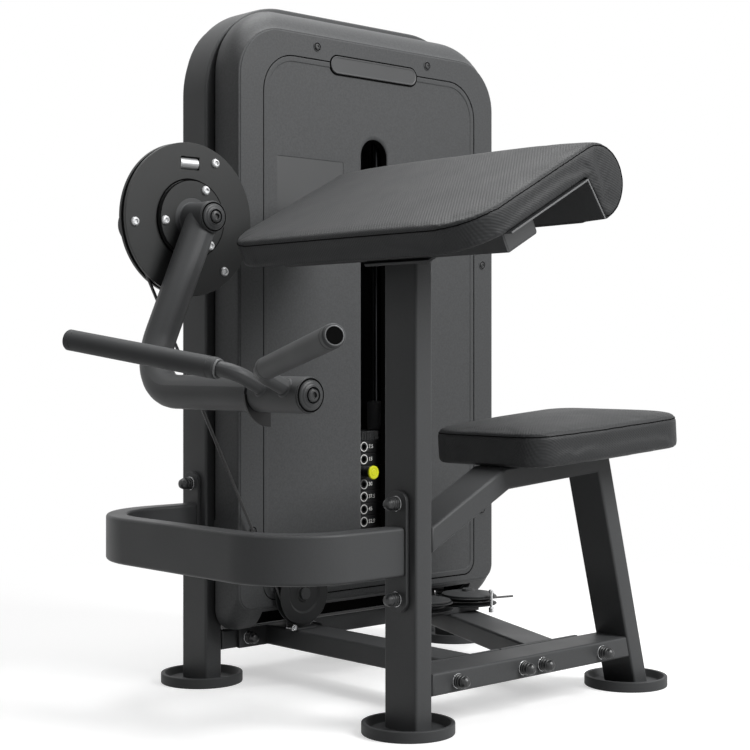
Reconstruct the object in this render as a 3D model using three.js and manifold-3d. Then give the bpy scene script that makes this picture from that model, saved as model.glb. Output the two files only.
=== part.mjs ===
// Biceps curl machine: a weight stack tower, a swinging arm with a V handle, an arm pad and a seat.
// Millimetres, +Z up. X runs from the swinging arm to the seat, Y from the pad post to the tower.
import * as THREE from 'three';
import { mergeVertices } from 'three/addons/utils/BufferGeometryUtils.js';
import Module from 'manifold-3d';

const wasm = await Module();
wasm.setup();

// Overall plan
const towerSpan = 720;
const towerHeight = 1374;
const towerBendRadius = 175;
const postReach = 600;
const legReach = 602;

// Steel tube and plate stock
const tubeWide = 80;
const tubeThin = 40;
const tubeEdge = 5;
const pipeRadius = 30.15;
const endPlate = 8;
const seatGap = 0.3;
const overrun = 3;
const weldDepth = 2;
const weldTolerance = 0.0001;

// Cap bolts
const washerRadius = 15;
const washerHeight = 3;
const capRadius = 12;
const capCollar = 9;
const capDome = 7;
const capInset = 86;

// Feet
const footRadius = 82;
const footFloor = 6;
const footHeight = 20;
const footRim = 7;

// Base tubes
const baseBottom = 65;
const leftBarX = 168;
const rightBarNearX = 392;
const rightBarInset = 111.5;
const baseTop = baseBottom + tubeThin;

// Guard rail
const railReach = 277;
const railBottom = 275;
const railTall = 85;
const railFarBend = 160;
const railNearBend = 128;
const railPlateWide = 48;
const railPlateTall = 210;
const railPlateCorner = 20;
const railBoltSpacing = 165;

// Tower covers
const coverGap = 8;
const coverFront = 125;
const coverBack = 82;
const coverBackInset = 12;
const coverInset = 20;
const coverTop = 1357;
const coverBottom = 107;
const coverSlope = 45;
const coverWall = 4;
const coverEdge = 5;
const coverTopRadius = 160;
const coverBottomRadius = 42;
const coverFaceTopRadius = 118;
const coverFaceBottomRadius = 34;
const panelMargin = 60;
const panelDrop = 52;
const panelRise = 18;
const panelTopRadius = 78;
const panelBottomRadius = 30;
const panelGroove = 3;
const panelGrooveDepth = 2.5;
const slotWide = 74;
const slotTop = 1112;
const slotBottom = 200;
const slotRim = 8;
const slotRimDepth = 2;
const underMargin = 62;
const tabWide = 34;
const tabDeep = 16;
const tabHeights = [310, 860];
const tabInsets = [199, 206];

// Weight stack
const plateCount = 10;
const liftedCount = 3;
const platePitch = 26.6;
const plateWide = 250;
const plateDeep = 120;
const plateCorner = 6;
const plateFront = 90;
const topPinHeight = 462;
const pinHoleRadius = 5.6;
const rodSpacing = 184;
const rodRadius = 12.5;
const rodBore = 14.5;
const selectorRadius = 11;
const selectorBore = 13;
const selectorTop = 532;
const headCoverTall = 20;
const headCoverArc = 150;
const headRibs = 22;
const headRibDepth = 2;
const bumperRadius = 21;
const bumperTall = 62;
const riserTall = 45;
const riserWide = 260;
const riserDeep = 96;
const cushionRadius = 31;
const pinRadius = 5;
const pinKnobRadius = 12.5;
const pinKnobTall = 25;
const pinKnobFace = 122;

// Cam disc and swinging arm
const camX = -138;
const camZ = 913;
const camRadius = 145;
const camFront = 150;
const camThick = 22;
const camPitch = 130;
const shaftRadius = 15;
const shaftClearance = 0.5;
const flangeRadius = 73.6;
const flangeThick = 8;
const hubRadius = 30;
const hubFront = 222;
const armPlane = 190;
const armLength = 349.4;
const armLean = 23.26;
const armBendRadius = 112;
const armEnd = 530;
const neckRadius = 26;
const neckLength = 6;
const spindleRadius = 19;
const housingRadius = 38;
const housingFront = 120;
const housingRear = 38;
const housingPlateTall = 150;
const windowWide = 46;
const windowTall = 26;
const windowRadius = 106;
const windowDepth = 20.5;
const barrelRadius = 9;
const barrelLong = 40;

// Handle
const sleeveRadius = 30;
const sleeveFront = 661;
const capThick = 8;
const capLip = 29;
const capNut = 14;
const capNutTall = 4;
const handleTilt = 25;
const barRadius = 13;
const barRoot = 30;
const barElbow = 88;
const barBendRadius = 34;
const gripSplay = 68;
const gripStart = 33;
const gripLong = 304;
const gripRadius = 18;
const gripRound = 5;

// Pull cable and sheaves
const cableRadius = 3;
const sheavePitch = 51;
const sheaveRadius = 62;
const grooveRelief = 2;
const grooveSide = 1;
const sheaveSide = 5;
const sheaveHub = 14;
const axleRadius = 8;
const lowerSheaveX = 146;
const turnSpacing = 135;
const turnInset = 145;
const runZ = 127;
const hoodTall = 9;
const hoodDome = 6;
const smallPitch = 34;
const smallRadius = 42;
const topAxleDrop = 62;
const rodPass = 4.3;
const bracketPlate = 4;

// Arm pad
const padSlope = 27.6;
const padHeight = 882.6;
const padWide = 640;
const padShift = 20;
const padThick = 50;
const padCrown = 6;
const padLow = -157;
const padNotch = 143;
const padRollX = 167.5;
const padRollRadius = 67;
const padTip = -100;
const padCorner = 90;
const padSoftEdge = 12;
const padSheet = 3;
const padSheetLow = -70;
const padSheetFold = 76;
const padSheetInset = 3;
const padBarLong = 560;
const padBarShift = -14;
const flangeLong = 70;
const flangePlate = 6;

// Seat
const seatSlope = 4.2;
const strutFoot = 336;
const strutTopX = 212;
const strutTopZ = 432.7;
const legTopX = 484;
const seatLow = 204;
const seatLong = 424;
const seatShift = 18;
const seatNearWide = 276;
const seatMiddle = 168;
const seatMiddleWide = 326;
const seatFarWide = 344;
const seatNearCorner = 58;
const seatSideBend = 400;
const seatFarCorner = 80;
const seatThick = 65;
const seatCrown = 15;
const seatSoftEdge = 13;
const seatBoard = 9;
const seatBoardInset = 22;

// Facets round a full turn, and steps along bends and edges
const fineSides = 40;
const roundSides = 24;
const pipeSides = 18;
const smallSides = 12;
const cableSides = 8;
const edgeSteps = 2;
const bendSteps = 7;
const cornerSteps = 5;
const bendShares = 5;
const cableShares = 4;

// Places that several pieces share
const postY = -postReach;
const handleY = postY;
const turnRightX = towerSpan - turnInset;
const turnLeftX = turnRightX - turnSpacing;
const halfTube = tubeWide / 2;
const halfThin = tubeThin / 2;
const towerX = towerSpan / 2;
const towerFace = -halfTube;
const beamFace = postY + halfTube;
const stackY = plateDeep / 2 - plateFront;
const plateThick = platePitch - seatGap;
const stackTop = topPinHeight + platePitch / 2;
const stackBottom = stackTop - plateCount * platePitch;
const riserTop = baseTop + riserTall;
const grooveY = camThick / 2 - camFront;
const turnY = grooveY - sheavePitch;
const cableUpX = turnRightX + sheavePitch;
const crownTurn = Math.asin((rodRadius + cableRadius + rodPass - seatGap) / (rodSpacing / 2));
const cableUpY = stackY + (cableUpX - towerX) * Math.tan(crownTurn);
const sheaveWide = 2 * (cableRadius + grooveSide + sheaveSide);
const halfTurn = Math.PI;
const quarterTurn = Math.PI / 2;
const radians = THREE.MathUtils.degToRad;
const bendStep = quarterTurn / bendShares;
const cableStep = quarterTurn / cableShares;

const finishes = {
  coat: { color: 0x3a3b3d, roughness: 0.55, metalness: 0.15 },
  cover: { color: 0x4a4b4d, roughness: 0.6, metalness: 0 },
  rubber: { color: 0x1b1b1c, roughness: 0.85, metalness: 0 },
  pad: { color: 0x48494b, roughness: 0.75, metalness: 0 },
  plate: { color: 0x161617, roughness: 0.5, metalness: 0.2 },
  steel: { color: 0xc9cccf, roughness: 0.25, metalness: 1 },
  sheave: { color: 0x202122, roughness: 0.45, metalness: 0 },
  yellow: { color: 0xe6ea12, roughness: 0.4, metalness: 0 },
};

const machine = new THREE.Group();
const flat = (x, y) => new THREE.Vector2(x, y);
const place = (x, y, z) => new THREE.Vector3(x, y, z);

// Signed volume, so that every skin can be turned to face out.
function signedVolume(geometry) {
  const places = geometry.attributes.position;
  const corner = [new THREE.Vector3(), new THREE.Vector3(), new THREE.Vector3()];
  let volume = 0;
  for (let i = 0; i < geometry.index.count; i += 3) {
    corner.forEach((point, k) => point.fromBufferAttribute(places, geometry.index.getX(i + k)));
    volume += corner[0].dot(corner[1].clone().cross(corner[2]));
  }
  return volume;
}

function welded(geometry) {
  const bare = geometry.clone();
  bare.deleteAttribute('normal');
  bare.deleteAttribute('uv');
  const skin = mergeVertices(bare, weldTolerance);
  const kept = [];
  for (let i = 0; i < skin.index.count; i += 3) {
    const [a, b, c] = [0, 1, 2].map((k) => skin.index.getX(i + k));
    if (a !== b && b !== c && c !== a) kept.push(a, b, c);
  }
  skin.setIndex(kept);
  if (signedVolume(skin) < 0) skin.setIndex(kept.reverse());
  return skin;
}

function solid(geometry) {
  const skin = welded(geometry);
  return new wasm.Manifold(new wasm.Mesh({
    numProp: 3,
    vertProperties: Float32Array.from(skin.attributes.position.array),
    triVerts: Uint32Array.from(skin.index.array),
  }));
}

function skinOf(body) {
  const { numProp, vertProperties, triVerts } = body.getMesh();
  const points = [];
  for (let i = 0; i < vertProperties.length; i += numProp) points.push(...vertProperties.subarray(i, i + 3));
  const skin = new THREE.BufferGeometry();
  skin.setAttribute('position', new THREE.Float32BufferAttribute(points, 3));
  skin.setIndex(Array.from(triVerts));
  return skin;
}

function joined(pieces) {
  return pieces.map(solid).reduce((whole, piece) => whole.add(piece));
}

function cut(body, tools) {
  return tools.map(solid).reduce((left, tool) => left.subtract(tool), body);
}

function addPiece(name, shape, finish, parent = machine) {
  const skin = shape.getMesh ? skinOf(shape) : welded(shape);
  skin.computeVertexNormals();
  const piece = new THREE.Mesh(skin, new THREE.MeshStandardMaterial(finishes[finish]));
  piece.name = name;
  parent.add(piece);
  return piece;
}

// Box from its low corner to its high corner
function block(low, high) {
  const size = high.map((value, k) => value - low[k]);
  const middle = high.map((value, k) => (value + low[k]) / 2);
  return new THREE.BoxGeometry(...size).translate(...middle);
}

// Turned piece about Y: pairs of radius and place along the axis, closed on the axis or on itself.
function turned(profile, sides) {
  return new THREE.LatheGeometry(profile.map((pair) => new THREE.Vector2(...pair)), sides);
}

function rodAlongY(radius, from, to, sides) {
  return turned([[0, from], [radius, from], [radius, to], [0, to]], sides);
}

function rodAlongZ(radius, from, to, sides) {
  return rodAlongY(radius, from, to, sides).rotateX(quarterTurn);
}

function rodAlongX(radius, from, to, sides) {
  return rodAlongY(radius, -to, -from, sides).rotateZ(quarterTurn);
}

function direction(from, to) {
  return to.clone().sub(from).normalize();
}

function leftOf(heading) {
  return new THREE.Vector2(-heading.y, heading.x);
}

// Outline of a bar of even thickness along a path in a plane. Inner corners are mitred, or bent to
// the radii given. An end is cut square, or along the direction given for it.
function barOutline(path, thickness, { bends = [], startCut, endCut } = {}) {
  const half = thickness / 2;
  const left = [];
  const right = [];
  const last = path.length - 1;
  const splitEnd = (point, heading, cutLine) => {
    const across = cutLine ? cutLine.clone().normalize() : leftOf(heading);
    const side = leftOf(heading).dot(across);
    left.push(point.clone().addScaledVector(across, half / side));
    right.push(point.clone().addScaledVector(across, -half / side));
  };
  splitEnd(path[0], direction(path[0], path[1]), startCut);
  for (let i = 1; i < last; i += 1) {
    const before = direction(path[i - 1], path[i]);
    const after = direction(path[i], path[i + 1]);
    const turn = Math.atan2(before.cross(after), before.dot(after));
    const side = Math.sign(turn);
    const bend = bends[i - 1] ?? 0;
    const setback = bend * Math.tan(Math.abs(turn) / 2);
    const inward = leftOf(before).multiplyScalar(side);
    const centre = path[i].clone().addScaledVector(before, -setback).addScaledVector(inward, bend);
    const steps = bend > 0 ? bendSteps : 0;
    for (let k = 0; k <= steps; k += 1) {
      const swept = steps ? turn * k / steps : turn / 2;
      const spoke = inward.clone().negate().rotateAround(flat(0, 0), swept);
      const reach = bend > 0 ? half : half / Math.cos(turn / 2);
      left.push(centre.clone().addScaledVector(spoke, bend - side * reach));
      right.push(centre.clone().addScaledVector(spoke, bend + side * reach));
    }
  }
  splitEnd(path[last], direction(path[last - 1], path[last]), endCut);
  return new THREE.Shape([...left, ...right.reverse()]);
}

// Flat outline given a depth, centred on its plane, with rounded long edges.
function thickened(shape, depth, edge = 0) {
  const settings = { depth: depth - 2 * edge, bevelEnabled: edge > 0, curveSegments: bendSteps };
  if (edge > 0) {
    Object.assign(settings, {
      bevelThickness: edge, bevelSize: edge, bevelOffset: -edge, bevelSegments: edgeSteps,
    });
  }
  return new THREE.ExtrudeGeometry(shape, settings).translate(0, 0, edge - depth / 2);
}

// An outline in X and Z given a depth along Y
function upright(shape, depth, edge) {
  return thickened(shape, depth, edge).rotateX(quarterTurn);
}

// Rectangle with one radius for all corners, or one each from the low right corner round
function roundedOutline(low, high, radii, steps = cornerSteps) {
  const corners = [[1, 0], [1, 1], [0, 1], [0, 0]];
  return corners.flatMap(([right, up], i) => {
    const radius = Array.isArray(radii) ? radii[i] : radii;
    const centre = flat(right ? high[0] - radius : low[0] + radius, up ? high[1] - radius : low[1] + radius);
    return Array.from({ length: steps + 1 }, (unused, k) => {
      const angle = quarterTurn * (i - 1 + k / steps);
      return flat(Math.cos(angle), Math.sin(angle)).multiplyScalar(radius).add(centre);
    });
  });
}

// Closed skin through rings of equal count, capped flat at both ends
function loft(rings) {
  const count = rings[0].length;
  const index = [];
  for (let r = 0; r < rings.length - 1; r += 1) {
    for (let k = 0; k < count; k += 1) {
      const next = (k + 1) % count;
      const [a, b, c, d] = [r * count + k, r * count + next, (r + 1) * count + k, (r + 1) * count + next];
      index.push(a, b, d, a, d, c);
    }
  }
  const addCap = (ring, start, facesBack) => {
    const spanX = direction(ring[Math.floor(count / 3)], ring[0]);
    const spanOther = direction(ring[Math.floor(2 * count / 3)], ring[0]);
    const spanY = spanX.clone().cross(spanOther).normalize().cross(spanX);
    const outline = ring.map((point) => flat(point.dot(spanX), point.dot(spanY)));
    THREE.ShapeUtils.triangulateShape(outline, []).forEach((corners) => {
      const ordered = facesBack ? corners.reverse() : corners;
      index.push(...ordered.map((corner) => start + corner));
    });
  };
  addCap(rings[0], 0, true);
  addCap(rings[rings.length - 1], (rings.length - 1) * count, false);
  const skin = new THREE.BufferGeometry();
  const points = rings.flat().flatMap((point) => [point.x, point.y, point.z]);
  skin.setAttribute('position', new THREE.Float32BufferAttribute(points, 3));
  skin.setIndex(index);
  return skin;
}

// Curve through knots: a pipe along it has one ring at each knot.
class Chain extends THREE.Curve {
  constructor(knots) {
    super();
    this.knots = knots;
    this.steps = knots.length - 1;
  }

  getPoint(share) {
    const spot = Math.min(share * this.steps, this.steps);
    const knot = Math.min(Math.floor(spot), this.steps - 1);
    return this.knots[knot].clone().lerp(this.knots[knot + 1], spot - knot);
  }

  getTangent(share) {
    const knot = Math.round(share * this.steps);
    const heading = new THREE.Vector3();
    if (knot > 0) heading.add(direction(this.knots[knot - 1], this.knots[knot]));
    if (knot < this.steps) heading.add(direction(this.knots[knot], this.knots[knot + 1]));
    return heading.normalize();
  }

  getUtoTmapping(share) {
    return share;
  }
}

// Route through corners, each inner one bent to a radius
function bentRoute(corners, radius) {
  const knots = [corners[0]];
  for (let i = 1; i < corners.length - 1; i += 1) {
    const before = direction(corners[i - 1], corners[i]);
    const after = direction(corners[i], corners[i + 1]);
    const turn = before.angleTo(after);
    const start = corners[i].clone().addScaledVector(before, -radius * Math.tan(turn / 2));
    const inward = after.clone().addScaledVector(before, -before.dot(after)).normalize();
    const steps = Math.max(edgeSteps, Math.ceil(turn / bendStep));
    for (let k = 0; k <= steps; k += 1) {
      const angle = turn * k / steps;
      knots.push(start.clone()
        .addScaledVector(before, radius * Math.sin(angle))
        .addScaledVector(inward, radius * (1 - Math.cos(angle))));
    }
  }
  knots.push(corners[corners.length - 1]);
  return new Chain(knots);
}

// Points on an arc in the plane that two axes span
function arcPoints(centre, firstAxis, secondAxis, radius, from, to) {
  const steps = Math.ceil(Math.abs(to - from) / cableStep);
  return Array.from({ length: steps + 1 }, (unused, k) => {
    const angle = from + (to - from) * k / steps;
    return centre.clone()
      .addScaledVector(firstAxis, radius * Math.cos(angle))
      .addScaledVector(secondAxis, radius * Math.sin(angle));
  });
}

// Points round a circle, with no point twice
function circlePoints(x, y, radius, sides) {
  return new THREE.EllipseCurve(x, y, radius, radius).getSpacedPoints(sides).slice(0, sides);
}

function pipeAlong(route, radius, sides) {
  const ring = new THREE.Shape(circlePoints(0, 0, radius, sides));
  return new THREE.ExtrudeGeometry(ring, { steps: route.steps, extrudePath: route, bevelEnabled: false });
}

// Cap bolt standing on a face, pointing along -Y from the origin
function capBolt() {
  const collar = washerHeight + capCollar;
  return turned([
    [0, weldDepth],
    [washerRadius, weldDepth],
    [washerRadius, -washerHeight],
    [capRadius, -washerHeight],
    [capRadius, -collar],
    [capRadius * Math.cos(quarterTurn / 2), -collar - capDome * Math.sin(quarterTurn / 2)],
    [0, -collar - capDome],
  ], smallSides);
}

// Feet: dished rubber pads under the four legs
function foot(name, x, y) {
  const piece = addPiece(name, turned([
    [0, 0],
    [footRadius, 0],
    [footRadius, footHeight - footRim / 2],
    [footRadius - footRim / 2, footHeight],
    [footRadius - footRim, footHeight - footRim / 2],
    [footRadius - 2 * footRim, footFloor],
    [0, footFloor],
  ], roundSides).rotateX(quarterTurn), 'rubber');
  piece.position.set(x, y, 0);
}

foot('foot_tower_left', 0, 0);
foot('foot_tower_right', towerSpan, 0);
foot('foot_post', 0, postY);
foot('foot_seat_leg', legReach, postY);
const legBottom = footFloor + seatGap;

// Tower frame: one bent tube with its legs in the feet
function towerFrame() {
  const crown = towerHeight - halfThin;
  const path = [flat(0, legBottom), flat(0, crown), flat(towerSpan, crown), flat(towerSpan, legBottom)];
  const outline = barOutline(path, tubeThin, { bends: [towerBendRadius, towerBendRadius] });
  return upright(outline, tubeWide, tubeEdge);
}

addPiece('tower_frame', towerFrame(), 'coat');

// Tower base tube, with the riser that carries the stack and the lug of the tower sheave
function towerBaseTube() {
  const end = halfThin + seatGap;
  const middle = baseBottom + halfThin;
  const path = [flat(end, middle), flat(towerSpan - end, middle)];
  const tube = upright(barOutline(path, tubeThin), tubeWide, tubeEdge);
  const riser = block(
    [towerX - riserWide / 2, towerFace + tubeEdge, baseTop - weldDepth],
    [towerX + riserWide / 2, stackY + riserDeep / 2, riserTop],
  );
  const shelf = block(
    [towerX - riserWide / 2, stackY - riserDeep / 2, riserTop - endPlate],
    [towerX + riserWide / 2, stackY + riserDeep / 2, riserTop],
  );
  const lugX = cableUpX + sheaveWide / 2 + seatGap;
  const axleY = cableUpY - smallPitch;
  const axleZ = runZ + smallPitch;
  const lug = block(
    [lugX, axleY - 2 * axleRadius, baseTop - weldDepth],
    [lugX + bracketPlate, axleY + 2 * axleRadius, axleZ + 2 * axleRadius],
  );
  const axle = rodAlongX(axleRadius, cableUpX - sheaveWide / 2 - axleRadius, lugX + weldDepth, smallSides)
    .translate(0, axleY, axleZ);
  return joined([tube, riser, shelf, lug, axle]);
}

addPiece('tower_base_tube', towerBaseTube(), 'coat');

// Tower covers: dished shells that narrow towards their face, open at the back and below
const coverRear = halfTube + coverGap;
const coverLeft = coverInset - halfThin;
const coverRight = towerSpan + halfThin - coverInset;

function coverRing(depth, lift, side, topRadius, bottomRadius) {
  const low = [coverLeft + side, coverBottom + lift];
  const high = [coverRight - side, coverTop - lift];
  const radii = [bottomRadius, topRadius, topRadius, bottomRadius];
  return roundedOutline(low, high, radii).map((point) => place(point.x, -depth, point.y));
}

// Shell from the open edge to a face at the depth given, with its sides set in
function coverShell(depth, inset) {
  const bevel = coverEdge * (1 - Math.cos(quarterTurn / 2));
  const faceRing = (back, lift, side) => coverRing(
    depth - back,
    lift,
    inset + side,
    coverFaceTopRadius - side,
    coverFaceBottomRadius - side,
  );
  const edgeRing = (back, side) => coverRing(
    coverRear - back,
    side,
    inset + side,
    coverTopRadius - side,
    coverBottomRadius - side,
  );
  const outer = loft([
    edgeRing(0, 0),
    faceRing(coverEdge, coverSlope - coverEdge / 2, 0),
    faceRing(bevel, coverSlope, bevel),
    faceRing(0, coverSlope + bevel, coverEdge),
  ]);
  const inner = loft([
    edgeRing(overrun, coverWall),
    faceRing(coverWall, coverSlope + coverWall, coverWall + bevel),
  ]);
  const under = block(
    [underMargin, -depth + coverWall, coverBottom - overrun],
    [towerSpan - underMargin, -coverRear + overrun, coverBottom + coverSlope],
  );
  return cut(solid(outer), [inner, under]);
}

// Cover with tabs on its open edge that reach the tower frame
function tabbedCover(depth, inset) {
  const rear = -halfTube - seatGap;
  const front = -coverRear - tabDeep;
  const sideTabs = tabHeights.flatMap((height) => {
    const [low, high] = [height - tabWide / 2, height + tabWide / 2];
    return [
      block([coverLeft + inset + weldDepth, front, low], [coverLeft + inset + tabDeep, rear, high]),
      block([coverRight - inset - tabDeep, front, low], [coverRight - inset - weldDepth, rear, high]),
    ];
  });
  const high = coverTop - coverWall - tabDeep / 2;
  const topTabs = [tabInsets[0], towerSpan - tabInsets[1]].map((x) => block(
    [x - tabWide / 2, front, high - tabDeep],
    [x + tabWide / 2, rear, high],
  ));
  const tabs = [...sideTabs, ...topTabs].map(solid);
  return tabs.reduce((whole, tab) => whole.add(tab), coverShell(depth, inset));
}

function slotOutline(wide, top, bottom) {
  const shape = new THREE.Shape();
  shape.moveTo(towerX - wide / 2, bottom);
  shape.lineTo(towerX + wide / 2, bottom);
  shape.lineTo(towerX + wide / 2, top - wide / 2);
  shape.absarc(towerX, top - wide / 2, wide / 2, 0, halfTurn);
  return shape;
}

function slotCuts() {
  const through = upright(slotOutline(slotWide, slotTop, slotBottom), coverWall + 2 * overrun)
    .translate(0, -coverFront + coverWall / 2, 0);
  const rimOutline = slotOutline(slotWide + 2 * slotRim, slotTop + slotRim, slotBottom - slotRim);
  return [through, upright(rimOutline, 2 * slotRimDepth).translate(0, -coverFront, 0)];
}

function panelGrooveCut() {
  const ring = (grow) => roundedOutline(
    [panelMargin - grow, coverBottom + coverSlope + panelRise - grow],
    [towerSpan - panelMargin + grow, coverTop - coverSlope - panelDrop + grow],
    [panelBottomRadius, panelTopRadius, panelTopRadius, panelBottomRadius].map((radius) => radius + grow),
  );
  const shape = new THREE.Shape(ring(panelGroove));
  shape.holes.push(new THREE.Path(ring(0)));
  return upright(shape, 2 * panelGrooveDepth).translate(0, -coverFront, 0);
}

addPiece('front_cover', cut(tabbedCover(coverFront, 0), [...slotCuts(), panelGrooveCut()]), 'cover');
const rearCover = addPiece('rear_cover', tabbedCover(coverBack, coverBackInset), 'cover');
rearCover.rotation.z = halfTurn;
rearCover.position.x = towerSpan;

// Guide rods and the rubber cushions under the stack
const rodTop = towerHeight - tubeThin - seatGap;

[['left', -1], ['right', 1]].forEach(([side, way]) => {
  const x = towerX + way * rodSpacing / 2;
  const bar = rodAlongZ(rodRadius, riserTop + seatGap, rodTop, roundSides);
  const rod = addPiece(`guide_rod_${side}`, bar, 'steel');
  rod.position.set(x, stackY, 0);
  const low = riserTop + seatGap;
  const high = stackBottom;
  const waist = (low + high) / 2;
  const cushion = addPiece(`stack_cushion_${side}`, turned([
    [rodBore, low],
    [cushionRadius, low],
    [cushionRadius - tubeEdge, waist],
    [cushionRadius, high],
    [rodBore, high],
    [rodBore, low],
  ], smallSides).rotateX(quarterTurn), 'rubber');
  cushion.position.set(x, stackY, 0);
  const seat = stackTop + headCoverTall + seatGap;
  const bumper = addPiece(`rod_bumper_${side}`, turned([
    [rodBore, seat],
    [bumperRadius, seat],
    [bumperRadius, seat + bumperTall - tubeEdge],
    [bumperRadius - tubeEdge, seat + bumperTall],
    [rodBore, seat + bumperTall],
    [rodBore, seat],
  ], smallSides).rotateX(quarterTurn), 'rubber');
  bumper.position.set(x, stackY, 0);
});

// Weight plates, drilled for the rods, the selector and its pin
function drilled(points) {
  const shape = new THREE.Shape(points);
  [[-rodSpacing / 2, rodBore], [0, selectorBore], [rodSpacing / 2, rodBore]].forEach(([x, radius]) => {
    shape.holes.push(new THREE.Path(circlePoints(x, 0, radius, smallSides)));
  });
  return shape;
}

function weightPlate() {
  const low = [-plateWide / 2, -plateDeep / 2];
  const high = [plateWide / 2, plateDeep / 2];
  const slab = thickened(drilled(roundedOutline(low, high, plateCorner, edgeSteps)), plateThick);
  return cut(solid(slab), [rodAlongY(pinHoleRadius, -plateDeep / 2 - overrun, 0, cableSides)]);
}

const plateBody = weightPlate();
for (let i = 0; i < plateCount; i += 1) {
  const plate = addPiece(`weight_plate_${String(i + 1).padStart(2, '0')}`, plateBody, 'plate');
  plate.position.set(towerX, stackY, topPinHeight - i * platePitch);
}

// Moulded cover on the top plate, with a ribbed bow front
function stackHeadCover() {
  const half = plateWide / 2 - plateCorner;
  const sweep = 2 * Math.asin(half / headCoverArc);
  const centre = flat(0, headCoverArc - plateDeep / 2 - headRibDepth);
  const points = [flat(half, plateDeep / 2), flat(-half, plateDeep / 2)];
  for (let k = 0; k <= 2 * headRibs; k += 1) {
    const angle = -quarterTurn - sweep / 2 + sweep * k / (2 * headRibs);
    const radius = headCoverArc - headRibDepth * (k % 2);
    points.push(flat(Math.cos(angle), Math.sin(angle)).multiplyScalar(radius).add(centre));
  }
  return thickened(drilled(points), headCoverTall - seatGap);
}

const headCover = addPiece('stack_head_cover', stackHeadCover(), 'cover');
headCover.position.set(towerX, stackY, stackTop + headCoverTall / 2 + seatGap / 2);

// Selector rod with a cross hole for every plate, and a collar that carries the top plate
function selectorRod() {
  const rodLow = stackBottom + seatGap;
  const collarLow = stackTop + headCoverTall + seatGap;
  const rod = turned([
    [0, rodLow],
    [selectorRadius - weldDepth, rodLow],
    [selectorRadius, rodLow + weldDepth],
    [selectorRadius, collarLow],
    [selectorBore + tubeEdge, collarLow],
    [selectorBore + tubeEdge, selectorTop - tubeEdge],
    [selectorBore, selectorTop],
    [0, selectorTop],
  ], smallSides).rotateX(quarterTurn);
  const holes = [];
  for (let i = 0; i < plateCount; i += 1) {
    holes.push(rodAlongY(pinHoleRadius, -2 * selectorRadius, 2 * selectorRadius, cableSides)
      .translate(0, 0, topPinHeight - i * platePitch));
  }
  return cut(solid(rod), holes);
}

addPiece('selector_rod', selectorRod(), 'steel').position.set(towerX, stackY, 0);

const pinHeight = topPinHeight - (liftedCount - 1) * platePitch;
addPiece('selector_pin', turned([
  [0, -pinKnobFace],
  [pinKnobRadius - weldDepth, -pinKnobFace],
  [pinKnobRadius, -pinKnobFace + weldDepth],
  [pinKnobRadius, -pinKnobFace + pinKnobTall - tubeEdge],
  [pinKnobRadius - tubeEdge, -pinKnobFace + pinKnobTall],
  [pinRadius, -pinKnobFace + pinKnobTall],
  [pinRadius, stackY + selectorRadius - weldDepth],
  [0, stackY + selectorRadius],
], smallSides), 'yellow').position.set(towerX, 0, pinHeight);

// Post that carries the arm pad, cut to the slope of the pad bar
const slope = radians(padSlope);
const padBarTop = -padSheet - 2 * seatGap;
const padBarBottom = padBarTop - tubeThin;
const postTop = padHeight + (padBarBottom - seatGap) / Math.cos(slope);

function post() {
  const endCut = flat(-Math.cos(slope), -Math.sin(slope));
  const path = [flat(0, legBottom), flat(0, postTop)];
  const tube = upright(barOutline(path, tubeThin, { endCut }), tubeWide, tubeEdge);
  const flange = block([-flangeLong / 2, -tubeWide, -flangePlate], [flangeLong / 2, tubeWide, 0])
    .rotateY(-slope)
    .translate(0, 0, postTop);
  return joined([tube, flange]);
}

addPiece('post', post(), 'coat').position.set(0, postY, 0);

// Seat frame: strut, beam and leg in one welded bend
const legTopZ = strutTopZ + (legTopX - strutTopX) * Math.tan(radians(seatSlope));
const legLean = Math.atan2(legReach - legTopX, legTopZ - legBottom);

function seatFrame() {
  const path = [
    flat(halfThin + seatGap, strutFoot),
    flat(strutTopX, strutTopZ),
    flat(legTopX, legTopZ),
    flat(legReach, legBottom),
  ];
  const outline = barOutline(path, tubeThin, { startCut: flat(0, 1), endCut: flat(1, 0) });
  return upright(outline, tubeWide, tubeEdge);
}

addPiece('seat_frame', seatFrame(), 'coat').position.set(0, postY, 0);

// Base beam from the post to the leg, with the heads of the crossbar bolts
const boltZ = baseBottom + halfThin;
const leftBolts = [leftBarX - capInset, leftBarX + capInset];
const rightBolts = [rightBarNearX - capInset, rightBarNearX + capInset];

function baseBeam() {
  const legAtBeam = legReach - (boltZ - legBottom) * Math.tan(legLean);
  const end = legAtBeam - (halfThin + seatGap) / Math.cos(legLean);
  const tube = upright(barOutline([flat(halfThin + seatGap, boltZ), flat(end, boltZ)], tubeThin, {
    startCut: flat(0, 1), endCut: flat(-Math.sin(legLean), Math.cos(legLean)),
  }), tubeWide, tubeEdge);
  const heads = [...leftBolts, ...rightBolts].map((x) => capBolt().translate(x, -halfTube, boltZ));
  return joined([tube, ...heads]);
}

addPiece('base_beam', baseBeam(), 'coat').position.set(0, postY, 0);

// Crossbars between the base beam and the tower, with bolted end plates
function crossbar(nearX, farX) {
  const near = beamFace + seatGap;
  const far = towerFace - seatGap;
  const across = flat(1, 0);
  const cutAlong = { startCut: across.clone().negate(), endCut: across.clone().negate() };
  const path = [flat(nearX, near), flat(farX, far)];
  const tube = thickened(barOutline(path, tubeWide, cutAlong), tubeThin, tubeEdge);
  tube.translate(0, 0, boltZ);
  const wide = capInset + 2 * capRadius;
  const nearPlate = block([nearX - wide, near, baseBottom], [nearX + wide, near + endPlate, baseTop]);
  const farPlate = block([farX - wide, far - endPlate, baseBottom], [farX + wide, far, baseTop]);
  const heads = [-capInset, capInset].map((x) => capBolt().translate(farX + x, far - endPlate, boltZ));
  return joined([tube, nearPlate, farPlate, ...heads]);
}

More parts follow.
